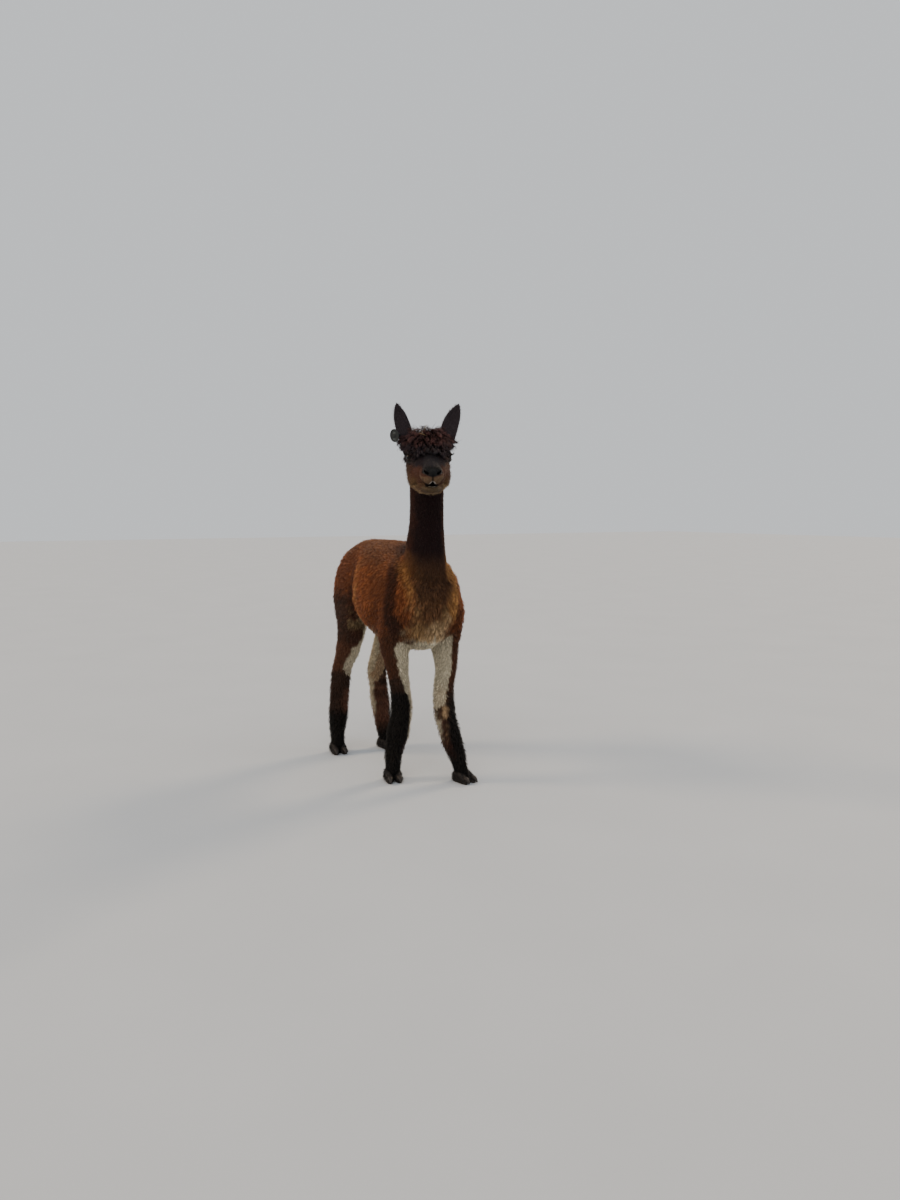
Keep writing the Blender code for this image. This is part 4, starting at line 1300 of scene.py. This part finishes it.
def region_of(points, normals):
    """Which piece of coat each face of the hide belongs to."""
    x, y, z = (points - HOME).T
    f, _, u = head_places(points)
    side = np.where(x > 0, "left", "right").astype(object)
    names = "barrel_" + side
    names[normals[:, 2] > 0.60] = "back"
    names[y < -0.205] = "chest"
    names = np.where(y > 0.150, "rump_" + side, names)
    names[(y > 0.395) & (z < 0.85) & (z > 0.60) & (np.abs(x) < 0.035)] = "tail"
    legs = (z < 0.545) & (np.abs(x) > 0.012)
    names = np.where(legs & (y < 0.03), "foreleg_" + side, names)
    names = np.where(legs & (y >= 0.03), "hindleg_" + side, names)
    names[above_shoulders(points) + 0.014 * drift(points, 0.030, 95) > 0] = "neck"
    on_head = head_share(points) > 0.5
    names[on_head] = "face"
    crown = (u + 0.30 * f > 0.026) & (f < 0.050) | (f < -0.050) & (u > -0.010)
    names[on_head & crown] = "crown"
    _, which = ear_share(points)
    names[on_head & (which != 0)] = "ears"
    return names


def make_coat(skin):
    """Grows every piece of coat on its part of the hide."""
    ids = corners_of(skin)
    names = region_of(points_of(skin)[ids].mean(1), unit(normals_of(skin)[ids].mean(1)))
    growers = {
        "barrel_left": grow_fleece,
        "barrel_right": grow_fleece,
        "back": grow_fleece,
        "chest": grow_fleece,
        "rump_left": grow_fleece,
        "rump_right": grow_fleece,
        "foreleg_left": grow_leg,
        "foreleg_right": grow_leg,
        "hindleg_left": grow_leg,
        "hindleg_right": grow_leg,
        "neck": grow_neck,
        "tail": grow_tail,
        "face": grow_face,
        "crown": grow_crown,
        "ears": grow_ears,
    }
    made = {}
    for order, (name, grower) in enumerate(growers.items()):
        made[name] = grower("coat_" + name, Swatch(skin, names == name), 100 + 10 * order)
    return made


def where(roots, keep):
    return tuple(values[keep] for values in roots)


def grow_fleece(name, swatch, seed):
    """Close undercoat with short soft locks over it, as a shorn fleece grows back."""
    base = grow(
        name + "_base", swatch.roots(0.0030, seed), seed, FINE,
        length=0.0140, radius=0.0012, lift=0.55, locks=0.009, pull=0.40, tip_tone=1.0,
    )
    roots = swatch.roots(0.0042, seed + 1)
    y, z = roots[0][:, 1] - HOME[1], roots[0][:, 2]
    front = soft(y, -0.28, -0.34) * soft(z, 0.80, 0.70)
    length = 0.0200 + 0.004 * front - 0.002 * soft(z, 0.60, 0.54) - 0.002 * soft(roots[1][:, 2], 0.5, 0.9)
    top = grow(
        name + "_locks", roots, seed + 1, CURVED,
        length=length, radius=0.00085, lift=0.48, locks=0.010, pull=0.56,
        frizz=0.16, mottle=0.28, tip_tone=1.75, arch=0.20,
    )
    return merged(name, [base, top])


def grow_leg(name, swatch, seed):
    """Short hair on the thigh and forearm, woolly on the shins and close about the feet."""
    layers = []
    for spacing, reach, thick, stations, more in (
        (0.0032, 0.70, 0.0011, FINE, {}),
        (0.0050, 1.0, 0.0009, CURVED, {"mottle": 0.22, "tip_tone": 1.45, "root_tone": 0.5, "arch": 0.20}),
    ):
        seed += 1
        roots = swatch.roots(spacing, seed)
        roots = where(roots, roots[0][:, 2] > 0.020)
        z = roots[0][:, 2]
        shin = soft(z, 0.36, 0.26)
        foot = soft(z, 0.10, 0.045)
        layers.append(grow(
            name + "_layer", roots, seed, stations,
            length=reach * ((0.015 * (1 - shin) + 0.019 * shin) * (1 - foot) + 0.010 * foot),
            radius=thick * (1 - 0.35 * foot),
            lift=(0.34 * (1 - shin) + 0.44 * shin) * (1 - foot) + 0.30 * foot,
            locks=0.009, pull=0.42, frizz=0.16, **more,
        ))
    return merged(name, layers)


def grow_neck(name, swatch, seed):
    """Velvety pile that lies close, longer where it runs out over the chest and shoulders."""
    roots = swatch.roots(0.0022, seed)
    foot = soft(above_shoulders(roots[0]), 0.055, 0.005)
    return merged(name, [grow(
        name, roots, seed, FINE,
        length=0.0105 + 0.0085 * foot, radius=0.00062 + 0.00018 * foot, lift=0.40 + 0.06 * foot,
        locks=0.009, pull=0.42, frizz=0.14, root_tone=0.42 - 0.10 * foot.mean(),
    )])


def grow_tail(name, swatch, seed):
    """A bushy tail of long hair."""
    return merged(name, [grow(
        name, swatch.roots(0.0030, seed), seed, WAVY,
        length=0.046, radius=0.0015, lift=0.40, locks=0.014, pull=0.50,
        frizz=0.16, crimp=0.12, mottle=0.22, tip_tone=1.5,
    )])


def grow_face(name, swatch, seed):
    """Close hair from the nose back, longer on the cheeks and wispy along the jaw."""
    roots = swatch.roots(0.0020, seed)
    scatter = np.random.default_rng(seed).uniform(0.05, 0.65, len(roots[0]))
    roots = where(roots, markings(roots[0], roots[1])[1] < scatter)
    f, s, u = head_places(roots[0])
    jaw = soft(u, -0.060, -0.085) * soft(f, 0.125, 0.09)
    cheek = soft(f, 0.080, 0.040) * soft(np.abs(s), 0.025, 0.050)
    close = grow(
        "face_close", roots, seed, FINE,
        length=0.0042 + 0.0075 * cheek + 0.0085 * jaw, radius=0.00052, lift=0.26 + 0.24 * cheek,
        locks=0.007, pull=0.35, frizz=0.12, mottle=0.12, tip_tone=0.95, root_tone=0.7,
    )
    roots = swatch.roots(0.0047, seed + 1)
    f, s, u = head_places(roots[0])
    along_jaw = (u < -0.066) & (f > -0.06) & (f < 0.115)
    cheek = (np.abs(s) > 0.054) & (u < -0.012) & (f < 0.035) & (f > -0.06) & (np.arange(len(f)) % 3 == 0)
    roots = where(roots, along_jaw | cheek)
    wisps = grow(
        "face_wisps", roots, seed + 2, CURVED,
        length=0.0170, radius=0.00036, lift=0.60, locks=0.010, pull=0.40,
        colours=washed(markings(roots[0], roots[1])[0], "wisp", 0.42), frizz=0.18, mottle=0.25, arch=0.18,
    )
    return merged(name, [close, wisps, lashes(swatch, seed + 3)])


def lashes(swatch, seed):
    """Long dark lashes that stand out and down over the upper half of each eye."""
    roots = swatch.roots(0.0011, seed)
    keep = np.zeros(len(roots[0]), bool)
    way = np.zeros_like(roots[0])
    for sign in (-1, 1):
        gaze, along, across = eye_axes(sign)
        across = across * np.sign(across @ ABOVE)
        away = roots[0] - eye_middle(sign)
        reach = np.hypot(away @ along / 1.55, away @ across)
        lid = (away @ gaze > 0) & (reach > 0.0095) & (reach < 0.0128) & (away @ across > 0.002)
        keep |= lid
        out = 0.9 * gaze + 0.3 * across + 0.6 * along * ((away @ along) / 0.016)[:, None]
        way = np.where(lid[:, None], unit(out), way)
    return grow(
        "lashes", where(roots, keep), seed, CURVED,
        length=0.0125, radius=0.00032, lift=0.10, locks=0.004, pull=0.20,
        way=way[keep], colours=COAT_LIGHT["leather"], frizz=0.12, arch=-0.12, root_tone=1.0, tip_tone=1.2,
    )


def grow_crown(name, swatch, seed):
    """The shaggy tuft between the ears, which falls forwards over the brow and out over the ears' roots."""
    roots = swatch.roots(0.0028, seed)
    full, top = crown_fullness(roots[0])
    base = grow(
        name + "_base", roots, seed, FINE,
        length=0.030 * full, radius=0.0015, lift=0.55 + 0.35 * top, locks=0.011, pull=0.30,
        frizz=0.20, tip_tone=0.9,
    )
    roots = swatch.roots(0.0027, seed + 1)
    points = roots[0]
    _, s, _ = head_places(points)
    full, top = crown_fullness(points)
    sides = soft(drift(points, 0.020, 92), 0.3, 0.9) * soft(np.abs(s), 0.02, 0.05)
    locks = grow(
        name + "_locks", roots, seed + 1, SWEPT,
        length=0.044 * full, radius=0.0007, lift=0.32 + 0.34 * top, locks=0.0140, pull=0.70,
        frizz=0.12, crimp=0.045, arch=0.38, mottle=0.24,
        colours=layered(markings(points, roots[1])[0], (
            ("crown_tip", 0.75 * soft(top + 0.4 * drift(points, 0.02, 91), 0.25, 1.0)),
            ("crown_side", 0.30 * sides),
        )),
    )
    roots = swatch.roots(0.0080, seed + 2)
    full, top = crown_fullness(roots[0])
    loose = grow(
        name + "_loose", roots, seed + 2, WAVY,
        length=0.046 * full, radius=0.0005, lift=0.60 + 0.6 * top, locks=0.010, pull=0.15,
        frizz=0.30, crimp=0.08, arch=0.30, tip_tone=1.5,
        colours=washed(markings(roots[0], roots[1])[0], "crown_tip", 0.5),
    )
    # three hay stalks rest on the outermost hair, right of the middle
    hair = points_of(locks)
    f, s, u = head_places(hair)
    outermost = f + 1.6 * u
    places = (-0.034, -0.026, -0.019)
    rests = [np.argmax(np.where(np.abs(s - place) < 0.004, outermost, -1)) for place in places]
    hay = (hair[rests], np.tile(unit(AHEAD + 0.8 * ABOVE), (3, 1)), roots[2][:3])
    slant = np.array(((0.9, -0.5), (-0.4, -0.9), (0.7, 0.6)))
    straws = grow(
        name + "_hay", hay, seed + 3, CURVED,
        length=0.026, radius=0.0006, lift=0.15, locks=0.03, pull=0.0,
        way=unit(slant[:, :1] * LEFT + slant[:, 1:] * ABOVE), colours=COAT_LIGHT["straw"],
        arch=0.02, frizz=0.1, root_tone=0.7, tip_tone=0.8,
    )
    return merged(name, [base, locks, loose, straws])


def crown_fullness(points):
    """How long the crown's hair is at a place, and how upright: full on top, short over eyes and nape."""
    f, s, u = head_places(points)
    brow = soft(u + 0.6 * f, 0.080, 0.045) * soft(f, -0.03, 0.02)
    temple = soft(np.abs(s), 0.040, 0.060) * soft(f, -0.045, -0.015) * soft(u, 0.065, 0.045)
    nape = soft(f, -0.07, -0.10) * soft(u, 0.04, 0.00)
    sides = soft(np.abs(s), 0.035, 0.058) * (1 - temple)
    full = (1 - 0.45 * brow) * (1 - 0.50 * temple) * (1 - 0.30 * sides) * (1 - 0.45 * nape)
    return full, soft(u, 0.045, 0.068)


def grow_ears(name, swatch, seed):
    """Close fur on the backs and in the cups, and longer hair that stands out from the rims."""
    close = grow(
        "ear_close", swatch.roots(0.0021, seed), seed, FINE,
        length=0.0068, radius=0.0007, lift=0.40, locks=0.008, pull=0.25, frizz=0.15,
    )
    roots = swatch.roots(0.0022, seed + 1)
    share, which = ear_share(roots[0])
    side = np.zeros_like(roots[0])
    out = np.zeros(len(share))
    for sign in (-1, 1):
        root, _, along, side_axis, _ = ear_axes(sign)
        mine = which == sign
        across = (roots[0] - root) @ side_axis
        side = np.where(mine[:, None], side_axis * np.sign(across)[:, None] + 0.7 * along, side)
        out = np.where(mine, np.abs(across), out)
    shares, halves, _ = np.array(EAR_RINGS).T
    keep = (out > np.interp(share, shares, halves) - 0.0045) & (share < 0.97) & (which != 0)
    roots = where(roots, keep)
    rim = grow(
        "ear_rim", roots, seed + 2, FINE,
        length=0.0080, radius=0.00024, lift=0.35, locks=0.006, pull=0.25,
        way=unit(side[keep]), colours=washed(markings(roots[0], roots[1])[0], "ear_rim", 0.5), frizz=0.30,
    )
    return merged(name, [close, rim])


def grow_feet(pads):
    """Short dark hair that runs down over the toes to the nails."""
    whole = new_piece("toes", points_of(pads), [tuple(face.vertices) for face in pads.data.polygons])
    worked(whole, "TRIANGULATE")
    heights = points_of(whole)[corners_of(whole)].mean(1)[:, 2]
    facing = np.array([face.normal.z for face in whole.data.polygons])
    swatch = Swatch(whole, (heights > 0.010) & (facing > -0.35))
    bpy.data.objects.remove(whole)
    layers = []
    for spacing, length, stations, seed in ((0.0030, 0.0085, FINE, 301), (0.0046, 0.0135, CURVED, 302)):
        roots = swatch.roots(spacing, seed)
        way = np.zeros_like(roots[0])
        for leg in LEG_LINES:
            foot, forward, _ = toe_frame(leg)
            near = np.linalg.norm((roots[0] - foot)[:, :2], axis=1) < 0.080
            way = np.where(near[:, None], forward + np.array((0, 0, -0.75)), way)
        layers.append(grow(
            "foot_layer", roots, seed, stations,
            length=length, radius=0.0009, lift=0.30, locks=0.007, pull=0.35,
            way=along_skin(way, roots[1]), colours=COAT_LIGHT["foot"], frizz=0.15,
        ))
    return merged("coat_feet", layers)


# ---------------------------------------------------------------- eyes, feet, teeth and tag


def eyeball(side, sign):
    """A ball with a raised cornea; its iris attribute grows from the pupil outwards."""
    centre = eye_middle(sign)
    gaze, along, across = eye_axes(sign)
    bpy.ops.mesh.primitive_uv_sphere_add(segments=48, ring_count=32, radius=1.0)
    ball = bpy.context.active_object
    ball.name = f"eyeball_{side}"
    unit_points = points_of(ball)
    turn = np.arccos(unit_points[:, 2].clip(-1, 1))
    swell = 1 + 0.045 * soft(turn, 0.75, 0.35)
    world = (unit_points[:, :1] * along + unit_points[:, 1:2] * across + unit_points[:, 2:] * gaze)
    set_points(ball, centre + (EYE_RADIUS - EYE_EASE) * swell[:, None] * world)
    smoothed(faced_outwards(ball))
    slit = np.sqrt((unit_points[:, 0] * 0.62) ** 2 + (unit_points[:, 1] * 1.35) ** 2)
    plain = np.sqrt(unit_points[:, 0] ** 2 + unit_points[:, 1] ** 2)
    outer = soft(plain, 0.3, 0.6)
    value = np.where(unit_points[:, 2] > 0, slit * (1 - outer) + plain * outer, 1.0)
    ball.data.attributes.new("iris", "FLOAT", "POINT").data.foreach_set("value", value.astype(np.float32))
    return ball


def toe_frame(leg):
    """Middle of the foot on the ground, and the toes' forward and sideways directions."""
    rows, turn = LEG_LINES[leg]
    middle = HOME + (rows[-1][1], rows[-1][2], 0)
    turned = Matrix.Rotation(-turn, 3, "Z")
    return middle, np.array(turned @ Vector((0, -1, 0))), np.array(turned @ Vector((1, 0, 0)))


def toe_pad(leg, sign):
    """One toe with a flat leathery sole."""
    middle, forward, sideways = toe_frame(leg)
    off = sign * (TOE_WIDTH + TOE_CLEFT) / 2
    shape = (
        (0.0, 0.30, 0.024), (0.07, 0.72, 0.038), (0.28, 0.95, 0.045), (0.52, 0.95, 0.042),
        (0.74, 0.92, 0.031), (0.90, 0.74, 0.020), (0.99, 0.34, 0.011),
    )
    rings = []
    for share, width, height in eased(shape, 4):
        reach = (share - 0.38) * TOE_LENGTH
        spread = sign * 0.06 * max(0.0, share - 0.4) * TOE_LENGTH
        centre = middle + reach * forward + (off + spread) * sideways + np.array((0, 0, height * 0.45))
        ring = oval(centre, sideways, (0, 0, 1), width * TOE_WIDTH / 2, height * 0.55, height * 0.62, 24, 2.3)
        ring[:, 2] = np.maximum(ring[:, 2], 0.0)
        rings.append(ring)
    return lofted("toe", rings)


def toe_pads():
    pads = joined([toe_pad(leg, sign) for leg in LEG_LINES for sign in (-1, 1)])
    return named(smoothed(pads, 50), "toe_pads")


def nails():
    """Curved horn on the front of every toe."""
    claws = []
    shape = (
        (0.036, 0.0245, 0.0078, 0.0048), (0.046, 0.0230, 0.0086, 0.0056), (0.054, 0.0190, 0.0080, 0.0054),
        (0.061, 0.0125, 0.0056, 0.0040), (0.0665, 0.0070, 0.0024, 0.0020),
    )
    for leg in LEG_LINES:
        middle, forward, sideways = toe_frame(leg)
        for sign in (-1, 1):
            off = sign * (TOE_WIDTH + TOE_CLEFT) / 2
            rings = []
            for reach, height, half, thick in eased(shape, 4):
                spread = sign * 0.06 * max(0.0, reach - 0.01)
                centre = middle + reach * forward + (off + spread) * sideways + np.array((0, 0, height))
                up = np.array((0, 0, 0.85)) + 0.53 * forward
                rings.append(oval(centre, sideways, up, half, thick, thick, 16, 2.4))
            claws.append(lofted("nail", rings))
    return named(smoothed(joined(claws)), "nails")


def incisors():
    """Lower front teeth, each a worn spade, in a low arc under the upper lip."""
    teeth = []
    for k in range(6):
        angle = math.radians(-60 + 24 * k)
        outward = math.cos(angle) * AHEAD + math.sin(angle) * LEFT
        beside = unit(np.cross(ABOVE, outward))
        foot = head_point(0.1360 + 0.0100 * (math.cos(angle) - 1), 0.0105 * math.sin(angle), -0.0778)
        bpy.ops.mesh.primitive_cube_add(size=2.0)
        tooth = bpy.context.active_object
        worked(tooth, "SUBSURF", levels=2, render_levels=2, subdivision_type="SIMPLE")
        block = points_of(tooth)
        height = (block[:, 2] + 1) / 2
        wide = (0.0017 + 0.0005 * height) * (1.0 - 0.0030 * abs(-60 + 24 * k))
        thick = 0.0015 - 0.0008 * height
        set_points(
            tooth,
            foot + (block[:, 0] * wide)[:, None] * beside + (block[:, 1] * thick)[:, None] * outward
            + (0.0115 * height)[:, None] * (ABOVE + 0.12 * outward),
        )
        worked(tooth, "BEVEL", width=0.0004, segments=2, limit_method="ANGLE")
        teeth.append(tooth)
    return named(smoothed(faced_outwards(joined(teeth)), 40), "incisors")


def tag_place():
    centre = head_point(*TAG_PLACE)
    face = unit(0.62 * AHEAD - 0.78 * LEFT)
    turn = Vector(face).to_track_quat("Z", "Y").to_matrix().to_4x4()
    return Matrix.Translation(Vector(centre)) @ turn


def tag_disc():
    """A moulded disc with a raised rim and a round boss over the stud."""
    bpy.ops.mesh.primitive_cylinder_add(vertices=64, radius=TAG_RADIUS, depth=TAG_THICKNESS)
    disc = bpy.context.active_object
    disc.name = "tag_disc"
    bpy.ops.object.mode_set(mode="EDIT")
    bpy.ops.mesh.select_mode(type="FACE")
    bpy.ops.mesh.select_all(action="DESELECT")
    bpy.ops.object.mode_set(mode="OBJECT")
    for face in disc.data.polygons:
        face.select = face.normal.z > 0.9
    bpy.ops.object.mode_set(mode="EDIT")
    bpy.ops.mesh.inset(thickness=0.0018)
    bpy.ops.mesh.inset(thickness=0.0004, depth=-0.0005)
    bpy.ops.mesh.inset(thickness=0.0145)
    bpy.ops.mesh.inset(thickness=0.0005, depth=0.0008)
    bpy.ops.object.mode_set(mode="OBJECT")
    worked(disc, "BEVEL", width=0.0003, segments=2, limit_method="ANGLE", angle_limit=math.radians(35))
    disc.data.transform(tag_place())
    return smoothed(disc, 35)


def tag_number():
    """Plain numbers printed round the middle of the disc."""
    rows = []
    for text, size, x, y in (("306", 0.0090, 0.0, 0.0098), ("0417", 0.0080, 0.0, -0.0128)):
        bpy.ops.object.text_add()
        row = bpy.context.active_object
        row.data.body = text
        row.data.size = size
        row.data.align_x = "CENTER"
        row.data.align_y = "CENTER"
        row.data.extrude = 0.00012
        row.data.resolution_u = 3
        activate(row)
        bpy.ops.object.convert(target="MESH")
        row = bpy.context.active_object
        row.data.transform(tag_place() @ Matrix.Translation((x, y, TAG_THICKNESS / 2 - 0.0004)))
        rows.append(row)
    return named(joined(rows), "tag_number")


# ---------------------------------------------------------------- floor, light and camera


def studio():
    """Pale floor, soft light from the front and above, and warm light from behind for the coat's edge."""
    bpy.ops.mesh.primitive_plane_add(size=60.0, location=(0, 0, 0))
    floor = bpy.context.active_object
    floor.name = "floor"
    made, tree, shader = new_material("painted_floor")
    place = node(tree, "ShaderNodeTexCoord")
    mottle = node(tree, "ShaderNodeTexNoise", Vector=place.outputs["Object"], Scale=2.0, Detail=4.0)
    tone = node(
        tree, "ShaderNodeValToRGB", steps=((0.0, "AEB2B6"), (1.0, "B6BABE")), Fac=mottle.outputs["Fac"]
    )
    wired(tree, shader, Base_Color=tone.outputs["Color"], Roughness=0.85)
    floor.data.materials.append(made)
    world = bpy.data.worlds.new("studio_air")
    bpy.context.scene.world = world
    world.use_nodes = True
    wired(world.node_tree, world.node_tree.nodes["Background"], Color=rgba("E6E9EC"), Strength=0.92)
    lamps = (
        ("key", (-2.6, -3.4, 4.6), 1.00, 50.0, "FFF8F0"),
        ("fill", (3.0, -2.6, 2.4), 0.30, 70.0, "EEF3FF"),
        ("back_left", (-3.4, 2.0, 2.2), 1.70, 16.0, "FFE2BE"),
        ("back_right", (3.6, 1.0, 2.4), 1.50, 16.0, "FFE2BE"),
    )
    for name, place, power, spread, code in lamps:
        lamp = bpy.data.lights.new(name, "SUN")
        lamp.angle = math.radians(spread)
        lamp.energy = power
        lamp.color = light_of(code)
        holder = bpy.data.objects.new(name, lamp)
        holder.location = place
        holder.rotation_euler = (-Vector(place)).to_track_quat("-Z", "Y").to_euler()
        bpy.context.scene.collection.objects.link(holder)


def camera():
    lens = bpy.data.cameras.new("camera")
    lens.sensor_width = 36.0
    lens.lens = 27.03
    holder = bpy.data.objects.new("camera", lens)
    holder.location = (-1.6172, -3.2006, 1.04)
    holder.rotation_euler = (math.radians(90 - 5.70), 0.0, math.radians(-30.0))
    bpy.context.scene.collection.objects.link(holder)
    bpy.context.scene.camera = holder


# ---------------------------------------------------------------- making the animal


def colour_hide(skin):
    points, normals = points_of(skin), normals_of(skin)
    colours, bare = markings(points, normals)
    # under the coat the hide is darkened to 0.62 as painted shade deep between the tufts; bare skin keeps its
    # full colour
    shade = 0.62 + 0.38 * bare
    tint = np.concatenate([colours * shade[:, None], np.ones((len(points), 1))], 1)
    skin.data.color_attributes.new("coat", "FLOAT_COLOR", "POINT").data.foreach_set("color", tint.ravel())
    skin.data.attributes.new("bare", "FLOAT", "POINT").data.foreach_set("value", bare.astype(np.float32))
    smoothed(skin)


def make():
    camera()
    skin = hide()
    unwrapped(skin)
    colour_hide(skin)
    fibre = fibre_material()
    coat = make_coat(skin)
    pads = toe_pads()
    coat["feet"] = grow_feet(pads)
    for name, piece in coat.items():
        dress(piece, fibre)
    dress(skin, hide_material())
    flesh = ["head", "lower_jaw", "neck", "trunk", "tail", "ear_left", "ear_right"]
    for leg in LEG_LINES:
        flesh += [leg + "_upper_leg", leg + "_lower_leg"]
    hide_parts(*flesh)
    wet = eye_material()
    for side, sign in (("left", 1), ("right", -1)):
        ball = dress(eyeball(side, sign), wet)
        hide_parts("eye_" + side)
    claws = dress(nails(), horn_material())
    dress(pads, pad_material())
    for leg in LEG_LINES:
        for place in ("inner", "outer"):
            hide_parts(f"{leg}_nail_{place}")
            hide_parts(f"{leg}_toe_{place}")
    teeth = dress(incisors(), tooth_material())
    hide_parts("lower_incisors")
    moulding = tag_material("tag_polyurethane", "0A1112", "1B2424")
    disc = dress(tag_disc(), moulding)
    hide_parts("ear_tag_disc")
    dress(tag_number(), tag_material("tag_print", "4E5654", "6E7573"))
    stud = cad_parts["ear_tag_stud"]
    stud.data.materials.clear()
    stud.data.materials.append(moulding)
    studio()


make()
